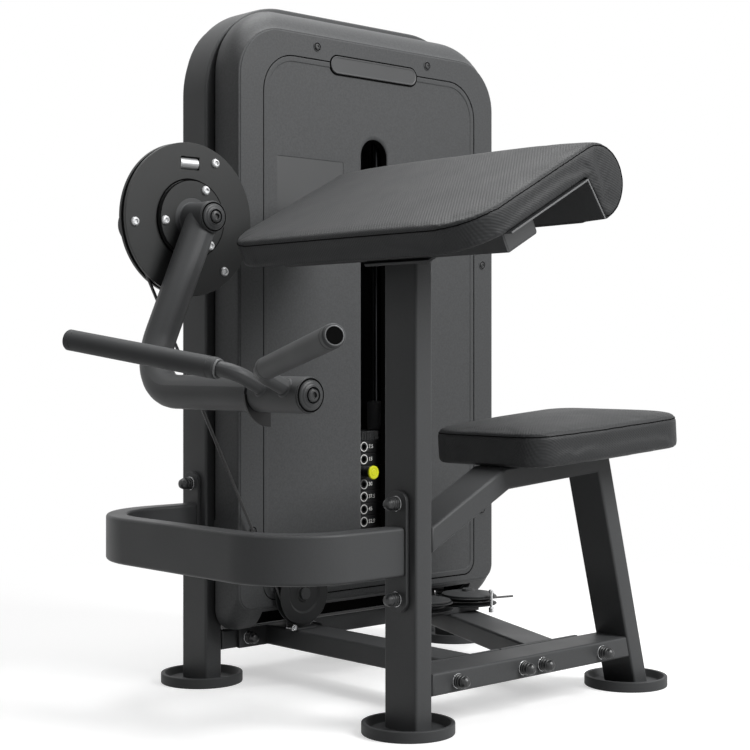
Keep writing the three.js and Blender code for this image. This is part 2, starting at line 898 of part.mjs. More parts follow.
const rightBarFarX = towerSpan - rightBarInset;
addPiece('left_crossbar', crossbar(leftBarX, leftBarX), 'coat');
addPiece('right_crossbar', crossbar(rightBarNearX, rightBarFarX), 'coat');

// Guard rail round the arm, bolted to the tower and the post
function guardRail() {
  const face = -halfThin - seatGap;
  const middle = railBottom + railTall / 2;
  const tube = thickened(barOutline([
    flat(face - weldDepth, 0), flat(-railReach, 0), flat(-railReach, postY), flat(face - weldDepth, postY),
  ], tubeThin, { bends: [railFarBend, railNearBend] }), railTall, tubeEdge).translate(0, 0, middle);
  const pieces = [tube];
  [0, postY].forEach((y) => {
    const outline = roundedOutline(
      [y - railPlateWide / 2, middle - railPlateTall / 2],
      [y + railPlateWide / 2, middle + railPlateTall / 2],
      railPlateCorner,
      edgeSteps,
    );
    const plate = upright(new THREE.Shape(outline), endPlate).rotateZ(quarterTurn);
    pieces.push(plate.translate(face - endPlate / 2, 0, 0));
    [-1, 1].forEach((way) => {
      const z = middle + way * railBoltSpacing / 2;
      pieces.push(capBolt().rotateZ(-quarterTurn).translate(face - endPlate, y, z));
    });
  });
  return joined(pieces);
}

addPiece('guard_rail', guardRail(), 'coat');

// Arm pad: a sloping slab that ends in a roll, with a fold for its steel sheet
const padGroup = new THREE.Group();
padGroup.position.set(0, postY, padHeight);
padGroup.rotation.y = -slope;
machine.add(padGroup);

function padProfile(low, shrink, crown) {
  const thick = padThick + crown - shrink;
  const roll = padRollRadius + crown - shrink;
  const rollZ = padThick - padRollRadius;
  const lowEnd = low + shrink;
  const tip = radians(padTip);
  const points = [flat(lowEnd + padSoftEdge / 2, shrink), flat(padNotch - shrink / 2, shrink)];
  for (let k = 0; k <= 2 * bendSteps; k += 1) {
    const angle = tip + (quarterTurn - tip) * k / (2 * bendSteps);
    points.push(flat(padRollX + roll * Math.cos(angle) + (k ? 0 : shrink), rollZ + roll * Math.sin(angle)));
  }
  for (let k = 1; k < bendSteps; k += 1) {
    const share = k / bendSteps;
    points.push(flat(padRollX + (lowEnd + 2 * padSoftEdge - padRollX) * share, thick));
  }
  for (let k = 0; k <= edgeSteps + 1; k += 1) {
    const angle = quarterTurn + quarterTurn * k / (edgeSteps + 1);
    points.push(flat(
      lowEnd + padSoftEdge + padSoftEdge * Math.cos(angle),
      thick - padSoftEdge + padSoftEdge * Math.sin(angle),
    ));
  }
  points.push(flat(lowEnd, shrink + padSoftEdge / 2));
  return points;
}

function armPad() {
  const half = padWide / 2;
  const straight = half - padCorner;
  const side = [];
  for (let k = 0; k <= edgeSteps; k += 1) {
    const angle = quarterTurn * k / (edgeSteps + 1);
    side.push([half - padSoftEdge * (1 - Math.cos(angle)), padSoftEdge * (1 - Math.sin(angle))]);
  }
  for (let k = 0; k <= cornerSteps; k += 1) {
    side.push([straight + (padCorner - padSoftEdge) * Math.cos(quarterTurn * k / cornerSteps), 0]);
  }
  side.push([straight / 2, 0]);
  const all = [...side.map(([y, inset]) => [-y, inset]), [0, 0], ...side.reverse()];
  return loft(all.map(([y, inset]) => {
    const over = Math.max(Math.abs(y) - straight, 0);
    const recede = padCorner - Math.sqrt(padCorner ** 2 - over ** 2);
    const crown = padCrown * (1 - (y / half) ** 4);
    return padProfile(padLow + recede, inset, crown).map((point) => place(point.x, y, point.y));
  }));
}

addPiece('arm_pad', armPad(), 'pad', padGroup).position.y = padShift;

// Folded steel sheet under the pad
function padSheetFolded() {
  const level = -seatGap - padSheet / 2;
  const foldX = padNotch - seatGap - padSheet;
  const tip = radians(padTip);
  const lean = flat(
    padRollX + padRollRadius * Math.cos(tip) - padNotch,
    padThick - padRollRadius + padRollRadius * Math.sin(tip),
  ).normalize();
  const fold = flat(foldX, level);
  const path = [flat(padSheetLow, level), fold, fold.clone().addScaledVector(lean, padSheetFold)];
  return upright(barOutline(path, padSheet), padWide - 2 * padSheetInset);
}

addPiece('pad_plate', padSheetFolded(), 'coat', padGroup).position.y = padShift;

const padBarMiddle = (padBarTop + padBarBottom) / 2;
addPiece('pad_bracket', thickened(new THREE.Shape(roundedOutline(
  [padBarShift - halfTube, padBarMiddle - halfThin],
  [padBarShift + halfTube, padBarMiddle + halfThin],
  tubeEdge,
  edgeSteps,
)), padBarLong).rotateX(quarterTurn), 'coat', padGroup).position.y = padShift;

// Seat on the seat beam
const seatGroup = new THREE.Group();
const beamLean = radians(seatSlope);
seatGroup.position.set(strutTopX, postY, strutTopZ);
seatGroup.rotation.y = -beamLean;
machine.add(seatGroup);
const boardLow = halfThin + seatGap;
const cushionLow = boardLow + seatGap;
const seatNear = seatLow - strutTopX;

// Outline of the seat, set in: each corner of its plan is rounded, with long bends in the sides.
function seatOutline(inset) {
  const corners = [
    [0, -seatNearWide, seatNearCorner],
    [seatMiddle, -seatMiddleWide, seatSideBend],
    [seatLong, -seatFarWide, seatFarCorner],
    [seatLong, seatFarWide, seatFarCorner],
    [seatMiddle, seatMiddleWide, seatSideBend],
    [0, seatNearWide, seatNearCorner],
  ].map(([along, wide, radius]) => ({ point: flat(seatNear + along, wide / 2), radius }));
  return corners.flatMap(({ point, radius }, i) => {
    const before = direction(corners.at(i - 1).point, point);
    const after = direction(point, corners[(i + 1) % corners.length].point);
    const turn = before.angleTo(after);
    const inward = leftOf(before);
    const start = point.clone().addScaledVector(before, -radius * Math.tan(turn / 2));
    const centre = start.addScaledVector(inward, radius);
    const steps = radius > seatFarCorner ? edgeSteps : cornerSteps;
    return Array.from({ length: steps + 1 }, (unused, k) => inward.clone().negate()
      .rotateAround(flat(0, 0), turn * k / steps)
      .multiplyScalar(radius - inset)
      .add(centre));
  });
}

addPiece('seat_board', thickened(new THREE.Shape(seatOutline(seatBoardInset)), seatBoard)
  .translate(0, seatShift, boardLow + seatBoard / 2), 'rubber', seatGroup);

// Cushion that wraps down round the board
function seatCushion() {
  const ring = (inset, height) => seatOutline(inset).map((point) => place(point.x, point.y, height));
  const rings = [ring(seatSoftEdge / 2, cushionLow), ring(0, cushionLow + seatSoftEdge / 2)];
  const shoulder = cushionLow + seatThick - seatSoftEdge;
  rings.push(ring(0, shoulder));
  for (let k = 1; k <= edgeSteps; k += 1) {
    const angle = quarterTurn * k / (edgeSteps + 1);
    rings.push(ring(seatSoftEdge * (1 - Math.cos(angle)), shoulder + seatSoftEdge * Math.sin(angle)));
  }
  const crownSteps = edgeSteps + 2;
  for (let k = 0; k <= crownSteps; k += 1) {
    const share = k / (crownSteps + 1);
    const inset = seatSoftEdge + (seatNearCorner - seatSoftEdge) * share;
    rings.push(ring(inset, cushionLow + seatThick + seatCrown * (1 - (1 - share) ** 2)));
  }
  const recess = thickened(new THREE.Shape(seatOutline(seatBoardInset - seatGap)), 2 * (seatBoard + seatGap))
    .translate(0, 0, boardLow);
  return cut(solid(loft(rings)), [recess]);
}

addPiece('seat_cushion', seatCushion(), 'pad', seatGroup).position.y = seatShift;

// Bearing housing on the tower upright
function bearingHousing() {
  const face = -halfThin - seatGap;
  const barrel = rodAlongY(housingRadius, -housingFront, housingRear, roundSides).translate(camX, 0, camZ);
  const arm = block([camX, -housingRear, camZ - housingRadius], [face, housingRear, camZ + housingRadius]);
  const plate = block(
    [face - endPlate, -housingRear, camZ - housingPlateTall / 2],
    [face, housingRear, camZ + housingPlateTall / 2],
  );
  const clear = shaftRadius + shaftClearance;
  const bore = rodAlongY(clear, -housingFront - overrun, housingRear + overrun, roundSides);
  return cut(joined([barrel, arm, plate]), [bore.translate(camX, 0, camZ)]);
}

addPiece('bearing_housing', bearingHousing(), 'coat');

// Swinging arm: everything that turns about the cam axis
const armGroup = new THREE.Group();
armGroup.position.set(camX, 0, camZ);
machine.add(armGroup);
const boreRadius = shaftRadius + shaftClearance;
const camRear = camFront - camThick;

addPiece('pivot_shaft', turned([
  [0, housingRear],
  [shaftRadius, housingRear],
  [shaftRadius, -housingFront - seatGap],
  [boreRadius + endPlate, -housingFront - seatGap],
  [boreRadius + endPlate, -camRear + seatGap],
  [shaftRadius, -camRear + seatGap],
  [shaftRadius, -hubFront],
  [0, -hubFront],
], roundSides), 'steel', armGroup);

function camDisc() {
  const grooveHalf = cableRadius + grooveSide;
  const floor = camPitch - cableRadius - grooveRelief;
  const middle = -grooveY;
  const disc = turned([
    [boreRadius, -camFront],
    [camRadius, -camFront],
    [camRadius, -middle - grooveHalf],
    [floor, -middle - grooveHalf],
    [floor, -middle + grooveHalf],
    [camRadius, -middle + grooveHalf],
    [camRadius, -camRear],
    [boreRadius, -camRear],
    [boreRadius, -camFront],
  ], fineSides);
  const pocket = block(
    [-windowWide / 2, -camFront - overrun, windowRadius - windowTall / 2],
    [windowWide / 2, -camFront + windowDepth, windowRadius + windowTall / 2],
  );
  const channel = block(
    [-camPitch, -middle - grooveHalf, windowRadius - grooveHalf],
    [0, -middle + grooveHalf, windowRadius + grooveHalf],
  );
  return cut(solid(disc), [pocket, channel]);
}

addPiece('cam_disc', camDisc(), 'coat', armGroup);
addPiece('cable_barrel', rodAlongX(barrelRadius, -barrelLong / 2, barrelLong / 2, smallSides)
  .translate(0, grooveY, windowRadius), 'steel', armGroup);

const lean = radians(armLean);
const armFoot = place(-armLength * Math.sin(lean), 0, -armLength * Math.cos(lean));

function curlArm() {
  const route = bentRoute([
    place(0, -armPlane, 0),
    place(armFoot.x, -armPlane, armFoot.z),
    place(armFoot.x, -armEnd, armFoot.z),
  ], armBendRadius);
  const flangeBack = -camFront - seatGap;
  const hub = turned([
    [0, flangeBack],
    [flangeRadius, flangeBack],
    [flangeRadius, flangeBack - flangeThick],
    [hubRadius, flangeBack - flangeThick],
    [hubRadius, -hubFront],
    [0, -hubFront],
  ], fineSides);
  const spindle = turned([
    [0, -armEnd + weldDepth],
    [neckRadius, -armEnd + weldDepth],
    [neckRadius, -armEnd - neckLength],
    [spindleRadius, -armEnd - neckLength],
    [spindleRadius, -sleeveFront],
    [0, -sleeveFront],
  ], roundSides).translate(armFoot.x, 0, armFoot.z);
  const bore = rodAlongY(boreRadius, -hubFront - overrun, -camRear, roundSides);
  return cut(joined([pipeAlong(route, pipeRadius, pipeSides), hub, spindle]), [bore]);
}

addPiece('curl_arm', curlArm(), 'coat', armGroup);

// Round end cap with a ringed nut, standing on a face at the origin and pointing along -Y
function endCap(radius) {
  return turned([
    [0, -seatGap],
    [radius, -seatGap],
    [radius, -capThick + weldDepth],
    [radius - weldDepth, -capThick],
    [capNut + weldDepth, -capThick],
    [capNut, -capThick + weldDepth],
    [capNut, -capThick - capNutTall],
    [0, -capThick - capNutTall],
  ], roundSides);
}

addPiece('hub_cap', endCap(capLip).translate(0, -hubFront, 0), 'rubber', armGroup);

// Handle: a sleeve on the spindle with two bars in a V
const handleGroup = new THREE.Group();
handleGroup.position.set(armFoot.x, 0, armFoot.z);
handleGroup.rotation.y = halfTurn + radians(handleTilt);
armGroup.add(handleGroup);

const splay = radians(gripSplay);
const gripAxis = (way) => place(Math.cos(splay), way * Math.sin(splay), 0);

function handleBar(way) {
  const elbow = place(barElbow, handleY + way * barRoot, 0);
  const tip = elbow.clone().addScaledVector(gripAxis(way), gripStart + gripLong - 2 * gripRound);
  return bentRoute([place(sleeveRadius - overrun, handleY + way * barRoot, 0), elbow, tip], barBendRadius);
}

function handleSleeve() {
  const back = -armEnd - neckLength - seatGap;
  const sleeve = rodAlongY(sleeveRadius, -sleeveFront, back, roundSides);
  const bars = [-1, 1].map((way) => pipeAlong(handleBar(way), barRadius, smallSides));
  const bore = rodAlongY(spindleRadius + shaftClearance, -sleeveFront - overrun, back + overrun, roundSides);
  return cut(joined([sleeve, ...bars]), [bore]);
}

addPiece('handle_sleeve', handleSleeve(), 'coat', handleGroup);
addPiece('sleeve_cap', endCap(capLip).translate(0, -sleeveFront, 0), 'rubber', handleGroup);

function grip() {
  return turned([
    [barRadius + shaftClearance, 0],
    [gripRadius, 0],
    [gripRadius, gripLong - gripRound],
    [gripRadius - gripRound, gripLong],
    [0, gripLong],
    [0, gripLong - gripRound],
    [barRadius + shaftClearance, gripLong - gripRound],
    [barRadius + shaftClearance, 0],
  ], pipeSides);
}

[['left', 1], ['right', -1]].forEach(([side, way]) => {
  const piece = addPiece(`grip_${side}`, grip(), 'rubber', handleGroup);
  const start = place(barElbow, handleY + way * barRoot, 0).addScaledVector(gripAxis(way), gripStart);
  piece.position.copy(start);
  piece.rotation.z = way > 0 ? splay - quarterTurn : -splay - quarterTurn;
});

// Sheaves: grooved wheels about Y, turned to their own axis where they stand
function sheave(pitch, radius) {
  const grooveHalf = cableRadius + grooveSide;
  const half = grooveHalf + sheaveSide;
  const floor = pitch - cableRadius - grooveRelief;
  return turned([
    [axleRadius + shaftClearance, -half],
    [radius, -half],
    [radius, -grooveHalf],
    [floor, -grooveHalf],
    [floor, grooveHalf],
    [radius, grooveHalf],
    [radius, half],
    [axleRadius + shaftClearance, half],
    [axleRadius + shaftClearance, -half],
  ], roundSides);
}

const lowerSheaveZ = runZ + sheavePitch;
const lowerSheave = addPiece('lower_sheave', sheave(sheavePitch, sheaveRadius), 'sheave');
lowerSheave.position.set(lowerSheaveX, grooveY, lowerSheaveZ);

// Bracket of the lower sheave: foot on the left crossbar, rear cheek, axle and keeper bolt
function lowerSheaveBracket() {
  const back = sheaveWide / 2 + seatGap;
  const cheekWide = sheaveRadius / 2;
  const footZ = baseTop + seatGap - lowerSheaveZ;
  const cheek = block([-cheekWide, back, footZ], [cheekWide, back + bracketPlate, axleRadius * 2]);
  const base = block(
    [-cheekWide, -sheaveWide / 2, footZ],
    [cheekWide, back + weldDepth, footZ + bracketPlate],
  );
  const axle = turned([
    [0, back + weldDepth],
    [axleRadius, back + weldDepth],
    [axleRadius, -back],
    [capRadius, -back],
    [capRadius, -back - bracketPlate],
    [0, -back - bracketPlate],
  ], smallSides);
  return joined([cheek, base, axle]);
}

addPiece('lower_sheave_bracket', lowerSheaveBracket(), 'coat').position.copy(lowerSheave.position);

[['turn_sheave_left', turnLeftX], ['turn_sheave_right', turnRightX]].forEach(([name, x]) => {
  const wheel = addPiece(name, sheave(sheavePitch, sheaveRadius).rotateX(quarterTurn), 'sheave');
  wheel.position.set(x, turnY, runZ);
});

// Bracket of the turning sheaves: plate on the right crossbar, axles, hoods and keeper bolt
function turnSheaveBracket() {
  const low = baseTop + seatGap;
  const plateTop = runZ - sheaveWide / 2 - seatGap;
  const hoodLow = runZ + sheaveWide / 2 + seatGap;
  const hoodEdge = sheaveRadius - sheaveSide;
  const pieces = [block(
    [turnLeftX, turnY - sheavePitch / 2, low],
    [turnRightX + axleRadius, turnY + sheavePitch / 2, plateTop],
  )];
  [turnLeftX, turnRightX].forEach((x) => {
    pieces.push(rodAlongZ(axleRadius, plateTop - weldDepth, hoodLow + weldDepth, smallSides)
      .translate(x, turnY, 0));
    pieces.push(turned([
      [0, hoodLow],
      [hoodEdge, hoodLow],
      [hoodEdge, hoodLow + hoodTall / 2],
      [hoodEdge / 2, hoodLow + hoodTall],
      [sheaveHub, hoodLow + hoodTall],
      [sheaveHub, hoodLow + hoodTall + hoodDome],
      [0, hoodLow + hoodTall + hoodDome],
    ], roundSides).rotateX(quarterTurn).translate(x, turnY, 0));
  });
  return joined(pieces);
}

addPiece('turn_sheave_bracket', turnSheaveBracket(), 'coat');

// Sheaves inside the tower. The crown pair is turned so that its cable passes the right guide rod.
const topAxleZ = towerHeight - tubeThin - topAxleDrop;
const crownLeft = smallPitch;
const crownRight = (cableUpX - towerX) / Math.cos(crownTurn) - smallPitch;
const crownGroup = new THREE.Group();
crownGroup.position.set(towerX, stackY, topAxleZ);
crownGroup.rotation.z = crownTurn;
machine.add(crownGroup);

const towerSheave = addPiece('tower_sheave', sheave(smallPitch, smallRadius).rotateZ(quarterTurn), 'sheave');
towerSheave.position.set(cableUpX, cableUpY - smallPitch, runZ + smallPitch);
[['top_sheave_right', crownRight], ['top_sheave_left', crownLeft]].forEach(([name, along]) => {
  addPiece(name, sheave(smallPitch, smallRadius), 'sheave', crownGroup).position.set(along, 0, 0);
});

// Hanger of the top sheaves: a plate under the tower crown with both axles
function topSheaveBracket() {
  const back = sheaveWide / 2 + seatGap;
  const high = topAxleDrop - seatGap;
  const bar = block(
    [crownLeft - 2 * axleRadius, back, -2 * axleRadius],
    [crownRight + 2 * axleRadius, back + bracketPlate, 2 * axleRadius],
  );
  const hanger = block(
    [crownLeft - 2 * axleRadius, back, 0],
    [crownRight - smallRadius - sheaveSide, back + bracketPlate, high],
  );
  const axles = [crownLeft, crownRight].map((x) => turned([
    [0, back + weldDepth],
    [axleRadius, back + weldDepth],
    [axleRadius, -back],
    [capRadius, -back],
    [capRadius, -back - bracketPlate],
    [0, -back - bracketPlate],
  ], smallSides).translate(x, 0, 0));
  return joined([bar, hanger, ...axles]);
}

addPiece('top_sheave_bracket', topSheaveBracket(), 'coat', crownGroup);

// Pull cable, in three lengths that meet end to end
const cam = flat(camX, camZ);
const lower = flat(lowerSheaveX, lowerSheaveZ);
const reach = lower.clone().sub(cam);
const camTangent = Math.atan2(reach.y, reach.x) - Math.acos((camPitch - sheavePitch) / reach.length());
const tangentWay = flat(Math.cos(camTangent), Math.sin(camTangent));
const leavesCam = cam.clone().addScaledVector(tangentWay, camPitch);
const meetsLower = lower.clone().addScaledVector(tangentWay, sheavePitch);
const pullWay = direction(leavesCam, meetsLower);
const camLeave = camTangent < 0 ? camTangent + 2 * halfTurn : camTangent;

const alongX = place(1, 0, 0);
const alongY = place(0, 1, 0);
const alongZ = place(0, 0, 1);

function camCable() {
  const enter = halfTurn - Math.asin(windowRadius / camPitch);
  const tail = leavesCam.clone().addScaledVector(pullWay, cableRadius);
  return pipeAlong(new Chain([
    place(-barrelLong / 2 - seatGap, grooveY, windowRadius),
    ...arcPoints(place(0, grooveY, 0), alongX, alongZ, camPitch, enter, camLeave),
    place(tail.x - camX, grooveY, tail.y - camZ),
  ]), cableRadius, cableSides);
}

addPiece('cam_cable', camCable(), 'rubber', armGroup);

// The straight pull from the cam, the turns on the bases and the rise to the tower crown
function pullCable() {
  const start = leavesCam.clone().addScaledVector(pullWay, cableRadius + seatGap);
  const cross = Math.acos(2 * sheavePitch / (turnRightX - turnLeftX));
  const rise = place(cableUpX, cableUpY - smallPitch, runZ + smallPitch);
  const alongCrown = place(Math.cos(crownTurn), Math.sin(crownTurn), 0);
  const crown = (reachOut) => place(towerX, stackY, topAxleZ).addScaledVector(alongCrown, reachOut);
  return pipeAlong(new Chain([
    place(start.x, grooveY, start.y),
    ...arcPoints(place(lower.x, grooveY, lower.y), alongX, alongZ, sheavePitch, camLeave, 3 * quarterTurn),
    ...arcPoints(place(turnLeftX, turnY, runZ), alongX, alongY, sheavePitch, quarterTurn, cross),
    ...arcPoints(place(turnRightX, turnY, runZ), alongX, alongY, sheavePitch, cross - halfTurn, 0),
    ...arcPoints(rise, alongY, alongZ, smallPitch, -quarterTurn, 0),
    ...arcPoints(crown(crownRight), alongCrown, alongZ, smallPitch, 0, quarterTurn),
    ...arcPoints(crown(crownLeft), alongCrown, alongZ, smallPitch, quarterTurn, halfTurn),
    place(towerX, stackY, topAxleZ - cableRadius),
  ]), cableRadius, cableSides);
}

addPiece('pull_cable', pullCable(), 'rubber');
const dropTop = topAxleZ - cableRadius - seatGap;
addPiece('stack_cable', rodAlongZ(cableRadius, selectorTop + seatGap, dropTop, cableSides), 'rubber')
  .position.set(towerX, stackY, 0);

// Stand the machine on its footprint: origin under the middle of its box
const bounds = new THREE.Box3().setFromObject(machine, true);
machine.position.set(-(bounds.min.x + bounds.max.x) / 2, -(bounds.min.y + bounds.max.y) / 2, -bounds.min.z);

export default machine;
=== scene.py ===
import math

import bmesh
import bpy
from bpy.props import FloatProperty, FloatVectorProperty, IntProperty, PointerProperty, StringProperty
from mathutils import Matrix, Vector
from mathutils.bvhtree import BVHTree
from mathutils.geometry import tessellate_polygon
from mathutils.kdtree import KDTree


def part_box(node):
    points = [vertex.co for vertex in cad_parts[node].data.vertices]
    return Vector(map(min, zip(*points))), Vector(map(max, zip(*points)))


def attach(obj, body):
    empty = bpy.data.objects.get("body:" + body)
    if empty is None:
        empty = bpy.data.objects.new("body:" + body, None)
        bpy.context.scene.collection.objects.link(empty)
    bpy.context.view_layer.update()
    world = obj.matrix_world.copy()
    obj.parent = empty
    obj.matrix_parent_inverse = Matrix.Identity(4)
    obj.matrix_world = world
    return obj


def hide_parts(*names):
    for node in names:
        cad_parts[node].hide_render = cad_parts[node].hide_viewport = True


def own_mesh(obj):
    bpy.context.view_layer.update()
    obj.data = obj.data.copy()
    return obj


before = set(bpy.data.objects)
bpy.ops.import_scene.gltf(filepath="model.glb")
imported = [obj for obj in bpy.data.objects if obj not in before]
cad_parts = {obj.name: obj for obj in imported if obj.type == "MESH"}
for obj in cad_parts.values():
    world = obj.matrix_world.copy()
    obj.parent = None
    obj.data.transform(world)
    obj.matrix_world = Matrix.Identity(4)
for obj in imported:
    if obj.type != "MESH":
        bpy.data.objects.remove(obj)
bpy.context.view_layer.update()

bl_info = {
    "name": "Biceps Curl Machine",
    "version": (1, 0, 0),
    "blender": (4, 5, 0),
    "location": "View3D > Sidebar > Curl Machine",
    "description": "Builds the finished pieces, materials and studio of a biceps curl machine",
    "category": "Object",
}

TURN = math.tau
HALF = math.pi
QUARTER = math.pi / 2

# Plan and tube stock
TOWER_SPAN = 720
TOWER_HEIGHT = 1374
TOWER_BEND = 175
POST_Y = -600
LEG_REACH = 602
TUBE_WIDE = 80
TUBE_THIN = 40
TUBE_EDGE = 5
PIPE_RADIUS = 30.15
END_PLATE = 8
GAP = 0.3
LEG_BOTTOM = 6 + GAP
BASE_BOTTOM = 65
BASE_TOP = BASE_BOTTOM + TUBE_THIN
BOLT_Z = BASE_BOTTOM + TUBE_THIN / 2
LEFT_BAR_X = 168
RIGHT_BAR_X = 392
RIGHT_BAR_FAR_X = TOWER_SPAN - 111.5
CAP_INSET = 86
PLATE_PAST_BOLT = 24
POST_FLANGE = ((-35, -6), (35, 0))
STRUT_FOOT = 336

# Guard rail
RAIL_REACH = 277
RAIL_TALL = 85
RAIL_MIDDLE = 275 + RAIL_TALL / 2
RAIL_BENDS = (160, 128)
RAIL_PLATE_WIDE = 48
RAIL_PLATE_TALL = 210
RAIL_PLATE_CORNER = 20
RAIL_BOLTS = 82.5

# Covers
COVER_REAR = 48
COVER_FRONT = 125
COVER_BACK = 82
COVER_BACK_INSET = 12
COVER_FRONT_INSET = -3
COVER_TOP = 1357
COVER_BOTTOM = 107
COVER_SLOPE = 45
COVER_WALL = 4
COVER_EDGE = 5
# Inset and depth below the face of the points that lead from the rim, through a fine step, onto the face
COVER_STEP = ((0, 5), (0.5, 3.4), (1.6, 2.2), (3.2, 1.7), (4.0, 2.0), (4.5, 1.6), (5.2, 0.5), (6.6, 0))
COVER_RADII = (42, 140)
# Width, reach and half the height of the tabs that hold a cover to the tower
COVER_TAB = (14, 16, 17)
TAB_HEIGHTS = (310, 860)
UNDERCUT_X = 62
COVER_FACE_RADII = (34, 106)
PANEL_LOW = (60, 170)
PANEL_HIGH = (660, 1260)
PANEL_RADII = (30, 78)
SLOT_X = 360
SLOT_HALF = 37
SLOT_TOP = 1112
SLOT_BOTTOM = 200
PLACARD_LOW = (95, 845)
PLACARD_HIGH = (272, 1057)
NAME_PLATE = ((233, 1236), (483, 1278))
COVER_SCREWS = ((199, 1287), (514, 1287), (688, 860), (32, 860), (32, 310), (688, 310))

# Weight stack
STACK_Y = -30
PLATE_PITCH = 26.6
PLATE_THICK = PLATE_PITCH - GAP
PLATE_WIDE = 250
PLATE_DEEP = 120
TOP_HOLE = 462
PLATE_COUNT = 10
LIFTED = 3
PIN_HOLE = 5.6
NUMBER_TALL = 11
NUMBER_FAT = 0.12
HEAD_ARC = 150
HEAD_RIBS = 44
ROD_SHIFT = 92
ROD_RADIUS = 12.5
ROD_BORE = 14.5
SELECTOR_BORE = 13.0
STACK_TOP = TOP_HOLE + PLATE_PITCH / 2
STACK_BOTTOM = STACK_TOP - PLATE_COUNT * PLATE_PITCH
HEAD_TOP = STACK_TOP + 20
RISER_TOP = 150
PIN_Z = TOP_HOLE - (LIFTED - 1) * PLATE_PITCH
SELECTOR_TOP = 532
STOP_TALL = 62

# Cam, arm and handle
CAM = Vector((-138, 0, 913))
CAM_RADIUS = 145
CAM_FRONT = 150
CAM_REAR = 128
SHAFT_BORE = 15.5
GROOVE_Y = -139
STOP_REACH = 55
STOP_MIDDLE = 22
FLANGE_RADIUS = 73.6
ANCHOR_LIFT = 106
# Radius and height above the disc's face of the two circles of screws
SCREW_CIRCLES = ((125, 0.0), (63, 8.3))
SCREW_ANGLES = (185, 62, -50)
HUB_FRONT = 222
ARM_PLANE = 190
ARM_END = 530
ARM_BEND = 112
LEAN = math.radians(23.26)
ARM_FOOT = Vector((-349.4 * math.sin(LEAN), 0, -349.4 * math.cos(LEAN)))
SPINDLE_RADIUS = 19
SLEEVE_RADIUS = 30
SLEEVE_FRONT = 661
HANDLE_TURN = HALF + math.radians(25)
BAR_RADIUS = 13
BAR_ROOT = 30
BAR_ELBOW = 88
BAR_BEND = 34
SPLAY = math.radians(68)
GRIP_START = 33
GRIP_LONG = 304

# Cable and sheaves
CABLE_RADIUS = 3
CAM_PITCH = 130
WHEEL_PITCH = 51
WHEEL_RADIUS = 62
SMALL_PITCH = 34
SMALL_RADIUS = 42
LOWER_WHEEL = Vector((146, GROOVE_Y, 178))
TURN_WHEELS = (Vector((440, -190, 127)), Vector((575, -190, 127)))
RUN_Z = 127
RISE_X = 626
CROWN_TURN = math.asin((ROD_RADIUS + CABLE_RADIUS + 4.3 - GAP) / ROD_SHIFT)
RISE_Y = STACK_Y + (RISE_X - SLOT_X) * math.tan(CROWN_TURN)
TOWER_WHEEL = Vector((RISE_X, RISE_Y - SMALL_PITCH, RUN_Z + SMALL_PITCH))
CROWN_Z = TOWER_HEIGHT - TUBE_THIN - 62
CROWN_SPOTS = (SMALL_PITCH, (RISE_X - SLOT_X) / math.cos(CROWN_TURN) - SMALL_PITCH)

# Arm pad and seat
PAD_SLOPE = math.radians(27.6)
PAD_HEIGHT = 882.6
PAD_WIDE = 640
PAD_SHIFT = 20
PAD_THICK = 50
PAD_CROWN = 6
PAD_LOW = -157
PAD_NOTCH = 143
PAD_ROLL_U = 167.5
PAD_ROLL = 67
PAD_TIP = math.radians(-100)
PAD_CORNER = 90
PAD_EDGE = 7
PAD_SHEET = 3
SHEET_START = -70
SHEET_TIP = 76
HOLE_DROP = 50
HOLE_Y = 235
PAD_BAR_SPAN = (-54, 26)
PAD_BAR_HALF = 280
SEAT_SLOPE = math.radians(4.2)
STRUT_TOP = (212, 432.7)
LEG_TOP_X = 484
SEAT_NEAR = 204 - STRUT_TOP[0]
SEAT_SHIFT = 18
# Corners of half the seat's plan: place along it, full width there, radius
SEAT_PLAN = ((0, 276, 58), (168, 326, 400), (424, 344, 80))
SEAT_LOW = 20.6
SEAT_THICK = 65
SEAT_CROWN = 15
SEAT_EDGE = 13

# Cushions: a skin of cloth over firm foam. Pressure swells it, then the seam is pressed in.
SKIN_CELL = 0.005
SWELL_FRAMES = 20
SKIN = {"quality": 5, "mass": 0.3, "tension_stiffness": 40, "compression_stiffness": 40,
        "bending_stiffness": 2, "use_pressure": True, "uniform_pressure_force": 4,
        "vertex_group_mass": "held"}
SEAM_STEP = 4.0
SEAM_REACH = 0.012
SEAM_WIDTH = 0.0035
SEAM_DEPTH = 0.0012
WELT_DEPTH = 0.0004
PAD_SEAM_DROP = 4.5
SEAT_SEAM_DROP = 7

# Studio. A lamp has a name, a place, a size in metres and its share of the key lamp's power.
LAMPS = (("key", (1500, -4200, 3400), 2.4, 1.0),
         ("top", (500, 200, 4200), 2.6, 0.45),
         ("left", (-3000, -1500, 3200), 2.0, 0.06))
LAMP_AIM = (250, -300, 600)
FLOOR_CORNERS = ((-30000, -30000, 0), (30000, -30000, 0), (30000, 60000, 0), (-30000, 60000, 0))
CAMERA_PLACE = (-1907.3, -2583.3, 652)
CAMERA_TURN = math.radians(-42.68)
CAMERA_LENS = 75.98
CAMERA_SHIFT = -0.0232
SENSOR_WIDTH = 36

